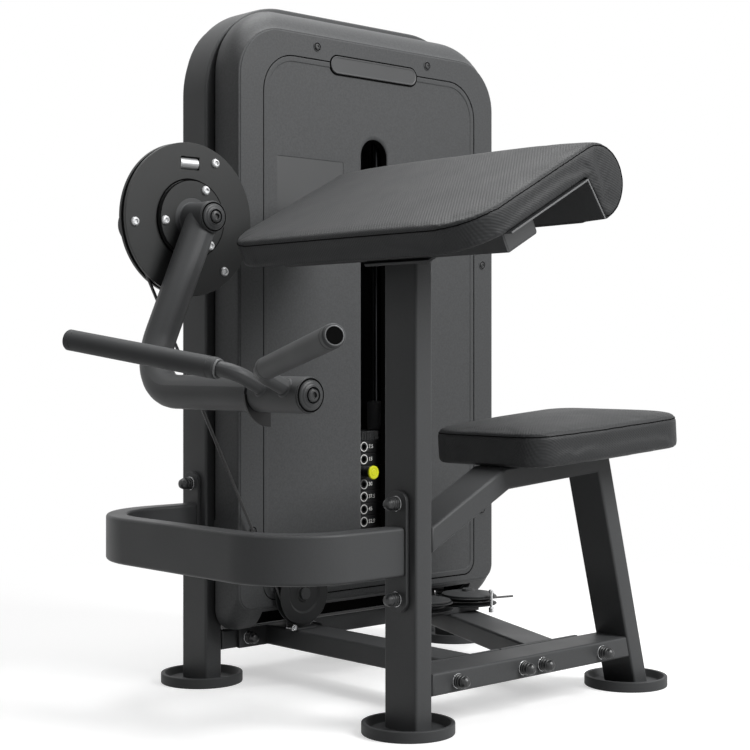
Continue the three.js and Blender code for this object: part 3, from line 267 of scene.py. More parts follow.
# Profiles of turned pieces: pairs of radius and height
FOOT_DISH = ((0, 0), (81, 0), (82, 1.5), (82, 20), (75, 20), (68.5, 6), (0, 6))
BOLT_WASHER = ((0, 0), (13.2, 0), (13.2, 1.7), (0, 1.7))
BOLT_CAP = ((0, 1.5), (12.6, 1.5), (12.6, 5.5), (10.8, 6.5), (12, 7.5), (12, 10.5), (10.4, 11.5),
            (11.6, 12.5), (11.6, 17), (10.2, 18), (10.8, 19), (8.4, 24), (4.4, 26.6), (0, 27))
SCREW_RIM = ((8.2, -1), (10.6, -1), (10.2, 0.9), (9.2, 1.5), (8.2, 1.0))
SCREW_WELL = ((0, -1), (8.4, -1), (8.4, 0.15), (0, 0.15))
SCREW_HEAD = ((0, 0), (6.4, 0), (6.4, 1.2), (4.6, 2.6), (2.8, 2.8), (2.6, 1.2), (0, 1.2))
PIN_BORE = ((0, 0), (PIN_HOLE, 0), (PIN_HOLE, 70), (7.4, 75), (0, 75))
ROD_HOLE = ((0, -22), (PIN_HOLE, -22), (PIN_HOLE, 22), (0, 22))
SCALE_RING = ((8.5, 0.0), (10.4, 0.0), (10.4, 0.35), (8.5, 0.35))
HEAD_RING = ((13.5, 0), (16, 0), (16, 1.2), (13.5, 1.2))
CAM_SCREW = ((0, -1), (8.8, -1), (8.8, 1.2), (7.8, 3.6), (6.2, 4.8), (4.2, 5.2), (3.8, 2.2), (0, 2.2))
ANCHOR_BARREL = ((0, -20.8), (10.8, -20.8), (11.6, -20), (11.6, 20), (10.8, 20.8), (0, 20.8))
CAP_RIM = ((0, 0.3), (28.8, 0.3), (28.8, 2.0), (27.8, 2.8), (27.3, 1.2), (25.0, 1.2), (24.6, 3.6))
CAP_MIDDLE = ((13.4, 9.0), (13.0, 4.6), (0, 4.6))
CENTRE_BOLT = ((0, 3.0), (10.8, 3.0), (10.8, 9.4), (8.8, 11.6), (5.4, 12.0), (4.8, 8.0), (0, 8.0))
BAR_WELD = ((12.4, -3), (17.5, -3), (15.4, 1.2), (12.9, 2.4), (12.4, 2.4))
GRIP_RING = ((13.4, -3.2), (15.8, -3.2), (16.4, -2.2), (16.4, -0.2), (13.4, -0.2))
GRIP_NEAR = ((13.3, 0), (16.6, 0), (17.2, 1.0), (18, 3), (18, 12.5), (17.3, 13.2), (17.3, 14.2), (18, 15.0))
# From the tip of the grip
GRIP_FAR = ((18, -15), (17.3, -14.2), (17.3, -13.2), (18, -12.4), (18, -3), (16.2, -0.4), (14.6, 0),
            (13.8, -1.2), (13.3, -4))
GRIP_PLUG = ((0, -6), (14.6, -6), (14.6, 0.4), (13.2, 0.8), (12.6, -0.4), (0, -0.4))
GRIP_FACE = ((0, -0.6), (12.6, -0.6), (12.6, -0.2), (0, -0.2))
TURN_KEEPER = ((0, 106), (5.6, 106), (5.6, 116), (3.0, 116.4), (3.0, 147), (5.2, 147.4), (5.2, 154), (0, 154))
HOOD = ((0, 0), (57, 0), (57, 4), (30, 8.6), (15, 9), (14, 9), (13, 14), (6, 15), (0, 15))
SHEET_HOLE = ((0, -0.2), (5.5, -0.2), (5.5, 0.25), (0, 0.25))

# Inner radius, outer radius and height of the near-black rings in an end cap's two sunk places, painted shade
CAP_PAINTED_SHADE_RINGS = ((24.8, 27.4, 2.2), (10.2, 13.8, 7.0))

# Profiles of pieces turned about the machine's Y axis: pairs of radius and place along it
KNOB_FACE = ((0, -122), (6.4, -122), (6.9, -121.2), (8.2, -121.2), (8.7, -122), (13.0, -122), (14.5, -120.6),
             (14.5, -117.6), (13.6, -117.2), (0, -117.2))
KNOB_BODY = ((0, -117.4), (12.2, -117.4), (12.2, -103), (11, -98), (11, -90.7), (0, -90.7))
PIN_SHAFT = ((0, -98), (5, -98), (5, -22), (0, -19))
LOWER_KEEPER = ((0, 11.5), (3.6, 11.5), (3.6, -9), (6.4, -9), (6.4, -13.0), (3.4, -13.0), (3.0, -11.0),
                (0, -11.0))
LOWER_AXLE = ((0, 11), (8, 11), (8, -9.3), (12, -9.3), (12, -13.3), (0, -13.3))
HOUSING_RADIUS = 38
HOUSING = ((SHAFT_BORE, -120), (HOUSING_RADIUS, -120), (HOUSING_RADIUS, 38), (SHAFT_BORE, 38))
HOUSING_CORE = ((0, -119), (15.4, -119), (15.4, 37), (0, 37))

# Insets and heights that lead over the panel, into its slot, down to the placard and over the badge
PANEL_STEPS = ((0.0, -4.0), (0.0, -0.9), (0.4, -0.2), (1.2, 0.0), (9.4, 0.0), (10.0, -0.3), (10.6, -1.3),
               (11.4, -1.5))
SLOT_STEPS = ((0.0, -6.0), (0.0, -5.0), (-0.8, -3.8), (-2.4, -2.8), (-5.0, -2.0), (-7.4, -1.7), (-8.0, -1.5))
PLACARD_STEPS = ((0.0, -5.0), (0.0, -2.0), (-0.8, -1.5))
BADGE_STEPS = ((0.0, -1.0), (0.0, 0.9), (0.5, 1.5), (1.4, 1.7), (3.0, 1.5), (3.9, 0.9))

# Places in the plan become places in the frame: the plan's origin is under the tower's left foot.
foot_low, foot_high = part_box("foot_tower_left")
foot_x, foot_y = [(foot_low[i] + foot_high[i]) / 2 for i in range(2)]
PLAN = Matrix.Translation((foot_x, foot_y, 0)) @ Matrix.Scale(0.001, 4)
UPRIGHT = Matrix.Rotation(QUARTER, 4, "X")
ALONG_Y = Matrix.Rotation(-QUARTER, 4, "X")
TO_X = Matrix.Rotation(QUARTER, 4, "Y")
AT_POST = Matrix.Translation((0, POST_Y, 0))
PAD_AT = Matrix.Translation((0, POST_Y + PAD_SHIFT, PAD_HEIGHT)) @ Matrix.Rotation(-PAD_SLOPE, 4, "Y")
SEAT_FOOT = Matrix.Translation((STRUT_TOP[0], POST_Y + SEAT_SHIFT, STRUT_TOP[1]))
SEAT_AT = SEAT_FOOT @ Matrix.Rotation(-SEAT_SLOPE, 4, "Y")
CAM_AT = Matrix.Translation(CAM)
STACK_AT = Matrix.Translation((SLOT_X, STACK_Y, 0))
HANDLE_AT = CAM_AT @ Matrix.Translation(ARM_FOOT) @ Matrix.Rotation(HANDLE_TURN, 4, "Y")
CROWN_AT = Matrix.Translation((SLOT_X, STACK_Y, CROWN_Z)) @ Matrix.Rotation(CROWN_TURN, 4, "Z")


class CurlMachineSettings(bpy.types.PropertyGroup):
    """Sizes and colours that a user would change"""

    coat_colour: StringProperty(name="Coat", description="Powder coat on the steel, sRGB hex",
                                default="444546")
    cover_colour: StringProperty(name="Covers", description="Moulded tower covers, sRGB hex",
                                 default="464748")
    pad_colour: StringProperty(name="Upholstery", description="Cover of the cushions, sRGB hex",
                               default="2b2c2d")
    knob_colour: StringProperty(name="Pin knob", description="Knob of the selector pin, sRGB hex",
                                default="dcdf08")
    weave: FloatProperty(name="Weave", description="Spacing of the upholstery's ribs, mm", default=5.0,
                         min=0.5)
    peel: FloatProperty(name="Coat texture", description="Size of the powder coat's texture, mm", default=2.4,
                        min=0.5)
    seam: FloatProperty(name="Seam", description="Thickness of the welt on the cushions, mm", default=1.8,
                        min=0.2)
    swell: FloatProperty(name="Swell", description="How far the cushions may swell, mm", default=1.5, min=0)
    bolt_size: FloatProperty(name="Bolt heads", description="Size of the cap bolts against the drawn ones",
                             default=1.0)
    first_weight: FloatProperty(name="Plate step", description="Weight of one plate on the scale, kg",
                                default=7.5)
    key_power: FloatProperty(name="Key light", description="Power of the large lamp, W", default=250, min=0)


def settings():
    return bpy.context.scene.curl_machine


# Shells: lists of points and faces in millimetres

def moved(shell, matrix):
    points, faces = shell
    return [matrix @ Vector(point) for point in points], faces


def united(*shells):
    points, faces = [], []
    for more_points, more_faces in shells:
        start = len(points)
        points.extend(more_points)
        faces.extend([tuple(start + i for i in face) for face in more_faces])
    return points, faces


def rounded_rect(low, high, radii, steps=12):
    """Ring maker for a rectangle. It takes an inset, and its radii go round from the low right corner."""
    even = radii if isinstance(radii, tuple) else (radii,) * 4
    if len(even) == 2:
        even = (even[0], even[1], even[1], even[0])

    def ring(inset=0.0):
        points = []
        for i, (right, up) in enumerate(((1, 0), (1, 1), (0, 1), (0, 0))):
            radius = even[i]
            x = high[0] - radius if right else low[0] + radius
            y = high[1] - radius if up else low[1] + radius
            for k in range(steps + 1):
                angle = QUARTER * (i - 1 + k / steps)
                points.append((x + (radius - inset) * math.cos(angle),
                               y + (radius - inset) * math.sin(angle)))
        return points

    return ring


def circle(radius, x=0.0, y=0.0, sides=32):
    def ring(inset=0.0):
        return [(x + (radius - inset) * math.cos(TURN * k / sides),
                 y + (radius - inset) * math.sin(TURN * k / sides))
                for k in range(sides)]
    return ring


def bar_outline(path, thickness, bend=0.0, start_cut=None, end_cut=None, steps=12):
    """Ring maker for a bar of even thickness along a path. Ends are square or follow the cut given."""
    path = [Vector(point) for point in path]

    def ring(inset=0.0):
        half = thickness / 2 - inset
        left, right = [], []

        def split(point, heading, cut, way):
            across = Vector(cut).normalized() if cut else Vector((-heading.y, heading.x))
            side = Vector((-heading.y, heading.x)).dot(across)
            middle = point + heading * (way * inset / abs(side))
            left.append(middle + across * (half / side))
            right.append(middle - across * (half / side))

        split(path[0], (path[1] - path[0]).normalized(), start_cut, 1)
        for i in range(1, len(path) - 1):
            before = (path[i] - path[i - 1]).normalized()
            after = (path[i + 1] - path[i]).normalized()
            turn = math.atan2(before.cross(after), before.dot(after))
            side = math.copysign(1, turn)
            inward = Vector((-before.y, before.x)) * side
            centre = path[i] - before * (bend * math.tan(abs(turn) / 2)) + inward * bend
            count = steps if bend else 0
            for k in range(count + 1):
                swept = turn * k / count if count else turn / 2
                spoke = Matrix.Rotation(swept, 2) @ -inward
                reach = half if bend else half / math.cos(turn / 2)
                left.append(centre + spoke * (bend - side * reach))
                right.append(centre + spoke * (bend + side * reach))
        split(path[-1], (path[-1] - path[-2]).normalized(), end_cut, -1)
        return [tuple(point) for point in left + right[::-1]]

    return ring


def soft_levels(low, high, edge, steps=4):
    """Insets and heights of a slab whose edges are rounded"""
    if not edge:
        return [(0, low), (0, high)]
    curve = [(edge * (1 - math.sin(QUARTER * k / steps)), edge * (1 - math.cos(QUARTER * k / steps)))
             for k in range(steps + 1)]
    return [(inset, low + rise) for inset, rise in curve] + [(inset, high - rise)
                                                             for inset, rise in reversed(curve)]


def plate(outline, levels, holes=()):
    """Flat piece with an outline and holes. Each ring runs through its own levels between shared faces."""
    points, faces, first, last = [], [], [], []
    for ring, ring_levels in [(outline, levels), *holes]:
        starts = []
        for inset, height in ring_levels:
            starts.append(len(points))
            flat = ring(inset)
            points.extend([(x, y, height) for x, y in flat])
        count = len(flat)
        for low, high in zip(starts, starts[1:]):
            faces.extend([(low + k, low + (k + 1) % count, high + (k + 1) % count, high + k)
                          for k in range(count)])
        first.append(range(starts[0], starts[0] + count))
        last.append(range(starts[-1], starts[-1] + count))
    for rings in (first, last):
        index = [i for ring in rings for i in ring]
        loops = [[Vector(points[i]) for i in ring] for ring in rings]
        faces.extend([tuple(index[i] for i in corner) for corner in tessellate_polygon(loops)])
    return points, faces


def slab(outline, low, high, edge=0.0, holes=(), steps=4):
    """Plate with rounded rims, also round its holes"""
    hole_levels = [(-inset, height) for inset, height in soft_levels(low, high, edge, steps)]
    return plate(outline, soft_levels(low, high, edge, steps), [(hole, hole_levels) for hole in holes])


def block(low, high, edge=1.0):
    """Box with rounded upright edges and rims"""
    outline = rounded_rect(low[:2], high[:2], edge, steps=3)
    return slab(outline, low[2], high[2], edge * 0.9, steps=3)


def filleted(profile, radius, closed=False, steps=4):
    """Polyline with its corners rounded"""
    count = len(profile)
    points = []
    for i, here in enumerate(profile):
        if not closed and i in (0, count - 1):
            points.append(tuple(here))
            continue
        here = Vector(here)
        before = Vector(profile[i - 1]) - here
        after = Vector(profile[(i + 1) % count]) - here
        angle = before.angle(after)
        reach = min(radius / math.tan(angle / 2), before.length * 0.45,
                    after.length * 0.45) if angle < HALF - 0.01 else 0
        if reach < 0.01:
            points.append(tuple(here))
            continue
        start, end = here + before.normalized() * reach, here + after.normalized() * reach
        for k in range(steps + 1):
            t = k / steps
            points.append(tuple(start * (1 - t) ** 2 + here * 2 * t * (1 - t) + end * t ** 2))
    return points


def lathe(profile, sides=48, closed=False):
    """Turned piece about Z from pairs of radius and height"""
    points, faces, rings = [], [], []
    for radius, height in profile:
        if radius < 0.001:
            rings.append([len(points)] * sides)
            points.append((0, 0, height))
        else:
            rings.append(list(range(len(points), len(points) + sides)))
            points.extend([(radius * math.cos(TURN * k / sides), radius * math.sin(TURN * k / sides), height)
                           for k in range(sides)])
    pairs = list(zip(rings, rings[1:])) + ([(rings[-1], rings[0])] if closed else [])
    for low, high in pairs:
        for k in range(sides):
            n = (k + 1) % sides
            corners = list(dict.fromkeys((low[k], low[n], high[n], high[k])))
            if len(corners) > 2:
                faces.append(tuple(corners))
    return points, faces


def spun(profile, radius=0.8, sides=48, closed=False, steps=4):
    """Turned piece about Z with softened corners"""
    return lathe(filleted(profile, radius, closed, steps), sides, closed)


def turned(profile, radius=0.8, sides=48, closed=False):
    """Turned piece about the machine's Y axis, pairs of radius and place along Y, with softened corners"""
    return moved(spun(profile, radius, sides, closed), ALONG_Y)


def aimed(way):
    """Turn that brings Z to a direction"""
    return way.to_track_quat("Z", "Y").to_matrix().to_4x4()


def turned_ring(low, high, near, far, radius, sides):
    """Ring about the machine's Y axis between two radii and two places along Y"""
    return turned([(low, near), (high, near), (high, far), (low, far)], radius, sides, True)


def shift(x=0.0, y=0.0, z=0.0):
    return Matrix.Translation((x, y, z))


def loft(rings, caps=True):
    count = len(rings[0])
    points = [point for ring in rings for point in ring]
    faces = []
    for r in range(len(rings) - 1):
        for k in range(count):
            n = (k + 1) % count
            faces.append((r * count + k, r * count + n, (r + 1) * count + n, (r + 1) * count + k))
    if caps:
        for start in (0, (len(rings) - 1) * count):
            loop = [Vector(points[start + k]) for k in range(count)]
            faces.extend([tuple(start + i for i in corner) for corner in tessellate_polygon([loop])])
    return points, faces


# Nodes: one function adds a node with its settings and links

def add_node(tree, kind, inputs=None, **values):
    made = tree.nodes.new(kind)
    for key, value in values.items():
        setattr(made, key, value)
    for key, value in (inputs or {}).items():
        if isinstance(value, bpy.types.NodeSocket):
            tree.links.new(value, made.inputs[key])
        else:
            made.inputs[key].default_value = value
    return made


def new_tree(name, sockets):
    """Geometry tree with named inputs. Returns the tree and its group input's outputs by name."""
    tree = bpy.data.node_groups.new(name, "GeometryNodeTree")
    tree.interface.new_socket("Geometry", in_out="OUTPUT", socket_type="NodeSocketGeometry")
    tree.interface.new_socket("Geometry", in_out="INPUT", socket_type="NodeSocketGeometry")
    for label, kind in sockets:
        tree.interface.new_socket(label, in_out="INPUT", socket_type="NodeSocket" + kind)
    tree.interface.new_socket("Material", in_out="INPUT", socket_type="NodeSocketMaterial")
    return tree, add_node(tree, "NodeGroupInput").outputs


def end_tree(tree, geometry, given):
    """Realize the copies, give them their material and pass them out"""
    real = add_node(tree, "GeometryNodeRealizeInstances", {"Geometry": geometry})
    finished = add_node(tree, "GeometryNodeSetMaterial",
                        {"Geometry": real.outputs[0], "Material": given["Material"]})
    add_node(tree, "NodeGroupOutput", {"Geometry": finished.outputs[0]})


def bent_tube_tree():
    """A tube of one section along a path, with its corners bent to a radius"""
    tree, given = new_tree("Bent tube", [("Width", "Float"), ("Height", "Float"), ("Edge", "Float"),
                                         ("Bend steps", "Int")])
    path = add_node(tree, "GeometryNodeMeshToCurve", {0: given["Geometry"]})
    bend = add_node(tree, "GeometryNodeInputNamedAttribute", {"Name": "bend"}, data_type="FLOAT")
    bent = add_node(tree, "GeometryNodeFilletCurve", {"Curve": path.outputs[0], "Count": given["Bend steps"],
                                                      "Radius": bend.outputs[0], "Limit Radius": True},
                    mode="POLY")
    section = add_node(tree, "GeometryNodeCurvePrimitiveQuadrilateral",
                       {"Width": given["Width"], "Height": given["Height"]})
    eased = add_node(tree, "GeometryNodeFilletCurve", {"Curve": section.outputs[0], "Count": 6,
                                                       "Radius": given["Edge"], "Limit Radius": True},
                     mode="POLY")
    skin = add_node(tree, "GeometryNodeCurveToMesh",
                    {"Curve": bent.outputs[0], "Profile Curve": eased.outputs[0],
                                                      "Fill Caps": True})
    end_tree(tree, skin.outputs[0], given)
    return tree


def fastener_tree():
    """A copy of one small piece at each point, pointing the way that the point says"""
    tree, given = new_tree("Fasteners", [("Piece", "Object"), ("Size", "Float")])
    piece = add_node(tree, "GeometryNodeObjectInfo", {"Object": given["Piece"]})
    aim = add_node(tree, "GeometryNodeInputNamedAttribute", {"Name": "aim"}, data_type="FLOAT_VECTOR")
    turn = add_node(tree, "FunctionNodeAlignRotationToVector", {"Vector": aim.outputs[0]}, axis="Z")
    spots = add_node(tree, "GeometryNodeMeshToPoints", {0: given["Geometry"]})
    copies = add_node(tree, "GeometryNodeInstanceOnPoints", {
        "Points": spots.outputs[0], "Instance": piece.outputs["Geometry"], "Rotation": turn.outputs[0],
        "Scale": given["Size"]})
    end_tree(tree, copies.outputs[0], given)
    return tree


def pile_tree():
    """Copies of the piece, one under the other"""
    tree, given = new_tree("Pile", [("Count", "Int"), ("Pitch", "Float"), ("Top", "Float")])
    drop = add_node(tree, "ShaderNodeMath", {0: given["Pitch"], 1: -1.0}, operation="MULTIPLY")
    step = add_node(tree, "ShaderNodeCombineXYZ", {"Z": drop.outputs[0]})
    start = add_node(tree, "ShaderNodeCombineXYZ", {"Z": given["Top"]})
    line = add_node(tree, "GeometryNodeMeshLine",
                    {"Count": given["Count"], "Start Location": start.outputs[0],
                                                   "Offset": step.outputs[0]}, mode="OFFSET")
    copies = add_node(tree, "GeometryNodeInstanceOnPoints",
                      {"Points": line.outputs[0], "Instance": given["Geometry"]})
    end_tree(tree, copies.outputs[0], given)
    return tree


TREES = {}


def shell_of(mesh):
    return [tuple(vertex.co) for vertex in mesh.vertices], [tuple(face.vertices) for face in mesh.polygons]


def run_tree(maker, shell, values, edges=(), layers=None):
    """Feed a shell to a tree and return what it makes as a shell. Layers are values for the points."""
    if maker not in TREES:
        TREES[maker] = maker()
    tree = TREES[maker]
    mesh = bpy.data.meshes.new("fed")
    mesh.from_pydata([tuple(point) for point in shell[0]], edges, shell[1])
    for label, kind, field, numbers in layers or ():
        mesh.attributes.new(label, kind, "POINT").data.foreach_set(field, numbers)
    fed = bpy.data.objects.new("fed", mesh)
    bpy.context.scene.collection.objects.link(fed)
    modifier = fed.modifiers.new("tree", "NODES")
    modifier.node_group = tree
    sockets = {item.name: item.identifier for item in tree.interface.items_tree if item.in_out == "INPUT"}
    for label, value in {"Material": MATERIALS["coat"], **values}.items():
        modifier[sockets[label]] = value
    bake(fed)
    made = shell_of(fed.data)
    bpy.data.objects.remove(fed)
    return made


def tube(path, width, height, edge, bends, bend_steps=20):
    """Tube along a path in its own flat plane, with a radius for each inner corner"""
    points = [(*point, 0) if len(point) == 2 else tuple(point) for point in path]
    edges = [(i, i + 1) for i in range(len(points) - 1)]
    sizes = {"Width": float(width), "Height": float(height), "Edge": float(edge), "Bend steps": bend_steps}
    return run_tree(bent_tube_tree, (points, []), sizes, edges,
                    [("bend", "FLOAT", "value", [0.0, *bends, 0.0])])


def pipe(path, radius, bend=0.0, bend_steps=20):
    """Round pipe along a path with one radius for its corners"""
    bends = [float(bend)] * (len(path) - 2)
    return tube(path, 2 * radius, 2 * radius, radius * 0.999, bends, bend_steps if bend else 1)


def copies(shell, spots, size=1.0):
    """The shell at each spot, a pair of place and facing"""
    pattern = bare_object("pattern", shell, Matrix())
    aims = [value for spot, aim in spots for value in aim]
    made = run_tree(fastener_tree, ([spot for spot, aim in spots], []),
                    {"Piece": pattern, "Size": float(size)}, layers=[("aim", "FLOAT_VECTOR", "vector", aims)])
    bpy.data.objects.remove(pattern)
    return made


# Pieces

def bake(piece):
    depsgraph = bpy.context.evaluated_depsgraph_get()
    made = bpy.data.meshes.new_from_object(piece.evaluated_get(depsgraph), preserve_all_data_layers=True,
                                           depsgraph=depsgraph)
    piece.modifiers.clear()
    piece.data = made


def bare_object(name, shell, matrix=PLAN):
    points, faces = moved(shell, matrix)
    mesh = bpy.data.meshes.new(name)
    mesh.from_pydata([tuple(point) for point in points], [], faces)
    work = bmesh.new()
    work.from_mesh(mesh)
    bmesh.ops.remove_doubles(work, verts=work.verts, dist=0.000002)
    bmesh.ops.recalc_face_normals(work, faces=work.faces)
    work.to_mesh(mesh)
    work.free()
    piece = bpy.data.objects.new(name, mesh)
    bpy.context.scene.collection.objects.link(piece)
    return piece


def smooth(piece, sharp=42):
    """Smooth shading that leaves flats flat and keeps hard corners"""
    piece.data.shade_smooth()
    piece.data.set_sharp_from_angle(angle=math.radians(sharp))
    even = piece.modifiers.new("even", "WEIGHTED_NORMAL")
    even.keep_sharp = True
    bake(piece)


def carve(piece, cutters, matrix=PLAN):
    """Cut shells out of a piece"""
    for shell in cutters:
        tool = bare_object("tool", shell, matrix)
        cut = piece.modifiers.new("cut", "BOOLEAN")
        cut.operation = "DIFFERENCE"
        cut.solver = "EXACT"
        cut.object = tool
        bake(piece)
        bpy.data.objects.remove(tool)


def finish_piece(piece, finish, body, nodes=()):
    piece.data.materials.clear()
    piece.data.materials.append(MATERIALS[finish])
    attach(piece, body)
    if nodes:
        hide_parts(*nodes)
    return piece


def add_piece(name, shell, finish="coat", body="frame", nodes=(), at=Matrix(), sharp=42, cutters=()):
    piece = bare_object(name, moved(shell, at))
    carve(piece, [moved(cutter, at) for cutter in cutters])
    smooth(piece, sharp)
    return finish_piece(piece, finish, body, nodes)


def dress(nodes, finish):
    """A solid whose own shape is right gets its material"""
    for name in nodes:
        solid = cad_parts[name]
        solid.data.materials.clear()
        solid.data.materials.append(MATERIALS[finish])


# Materials

def linear(code, alpha=1.0):
    """sRGB hex to linear"""
    channels = [int(code[i:i + 2], 16) / 255 for i in (0, 2, 4)]
    return tuple(c / 12.92 if c <= 0.04045 else ((c + 0.055) / 1.055) ** 2.4 for c in channels) + (alpha,)


def per_mm(size):
    """Texture scale at which one feature is this many millimetres"""
    return 1000 / size


def surface(name, colour, rough, metal=0.0, grain=1.5, depth=0.03, patch=90.0, patch_share=0.06, speckle=0.0,
            **shader):
    """Material with fine grain in its relief, slow patches in colour and gloss, and a speckle if given"""
    material = bpy.data.materials.new(name)
    material.use_nodes = True
    tree = material.node_tree
    tree.nodes.clear()
    place = add_node(tree, "ShaderNodeTexCoord").outputs["Object"]
    fine = add_node(tree, "ShaderNodeTexNoise",
                    {"Vector": place, "Scale": per_mm(grain), "Detail": 3.0, "Roughness": 0.6})
    slow = add_node(tree, "ShaderNodeTexNoise", {"Vector": place, "Scale": per_mm(patch), "Detail": 4.0})
    relief = add_node(tree, "ShaderNodeBump", {"Height": fine.outputs["Fac"], "Strength": 1.0,
                                               "Distance": depth / 1000})
    base = linear(colour)
    low = tuple(c * (1 - patch_share) for c in base[:3]) + (1.0,)
    high = tuple(c * (1 + patch_share) for c in base[:3]) + (1.0,)
    tint = add_node(tree, "ShaderNodeMix", {0: slow.outputs["Fac"], 6: low, 7: high},
                    data_type="RGBA").outputs[2]
    if speckle:
        shade = add_node(tree, "ShaderNodeMapRange",
                         {"Value": fine.outputs["Fac"], "From Min": 0.35, "From Max": 0.65,
                                                      "To Min": 1 - speckle, "To Max": 1 + speckle})
        tint = add_node(tree, "ShaderNodeVectorMath", {0: tint, "Scale": shade.outputs[0]},
                        operation="SCALE").outputs[0]
    gloss = add_node(tree, "ShaderNodeMapRange",
                     {"Value": slow.outputs["Fac"], "From Min": 0.3, "From Max": 0.7,
                                                  "To Min": rough - 0.04, "To Max": rough + 0.04})
    body = add_node(tree, "ShaderNodeBsdfPrincipled", {
        "Base Color": tint, "Roughness": gloss.outputs[0], "Metallic": metal, "Normal": relief.outputs[0],
        **shader})
    add_node(tree, "ShaderNodeOutputMaterial", {"Surface": body.outputs[0]})
    return material, body, relief


# The ribs of the upholstery lie slantwise to the slope
RIB_TWIST = math.radians(-36)


def wave_per_mm(size):
    """Wave texture scale at which one band is this many millimetres"""
    return TURN / 20 * 1000 / size


def upholstery(name, colour, spacing, turn):
    """Vinyl with fine ribs down the slope of the top, and a crossed weave on the sides"""
    material, body, relief = surface(name, colour, 0.58, grain=1.2, depth=0.05, patch=60, patch_share=0.05,
                                     speckle=0.06, **DULL)
    tree = material.node_tree
    place = add_node(tree, "ShaderNodeTexCoord").outputs["Object"]

    def bands(size, lean=0.0, twist=0.0, axis="Y"):
        scale = wave_per_mm(size)
        laid = add_node(tree, "ShaderNodeMapping", {"Vector": place, "Rotation": (lean, turn, twist)})
        return add_node(tree, "ShaderNodeTexWave",
                        {"Vector": laid.outputs[0], "Scale": scale, "Distortion": 0.0}, wave_type="BANDS",
                        bands_direction=axis, wave_profile="SIN").outputs["Fac"]

    ribs = bands(spacing, twist=RIB_TWIST)
    cords = bands(spacing * 1.5, twist=RIB_TWIST, axis="X")
    top = add_node(tree, "ShaderNodeMix", {0: 0.3, 2: ribs, 3: cords})
    one = bands(spacing * 0.6, axis="DIAGONAL")
    other = bands(spacing * 0.6, lean=HALF / 3, axis="DIAGONAL")
    side = add_node(tree, "ShaderNodeMix", {0: 0.5, 2: one, 3: other})
    facing = add_node(tree, "ShaderNodeSeparateXYZ",
                      {0: add_node(tree, "ShaderNodeNewGeometry").outputs["Normal"]})
    pick = add_node(tree, "ShaderNodeMapRange",
                    {"Value": facing.outputs["Z"], "From Min": 0.45, "From Max": 0.6})
    cells = add_node(tree, "ShaderNodeMix", {0: pick.outputs[0], 2: side.outputs[0], 3: top.outputs[0]})
    weave = add_node(tree, "ShaderNodeBump", {"Height": cells.outputs[0], "Strength": 1.0, "Distance": 0.0004,
                                              "Normal": relief.outputs[0]})
    # The weave's low bands are painted darker and its high bands lighter: painted shade and highlight on the
    # relief
    shade = add_node(tree, "ShaderNodeMapRange", {"Value": cells.outputs[0], "To Min": 0.86, "To Max": 1.12})
    tint = add_node(tree, "ShaderNodeVectorMath", {0: body.inputs["Base Color"].links[0].from_socket,
                                                   "Scale": shade.outputs[0]}, operation="SCALE")
    tree.links.new(tint.outputs[0], body.inputs["Base Color"])
    tree.links.new(weave.outputs[0], body.inputs["Normal"])
    return material


MATERIALS = {}

# Share of the usual gloss left on painted, moulded and sewn surfaces, whose fine grain scatters it
DULL = {"Specular IOR Level": 0.3}
# Gaps and seams are sunk, and the near-black pieces laid in them are painted shade; hardly any gloss is left
# on them, so they stay black
PAINTED_SHADE_GLOSS = {"Specular IOR Level": 0.04}


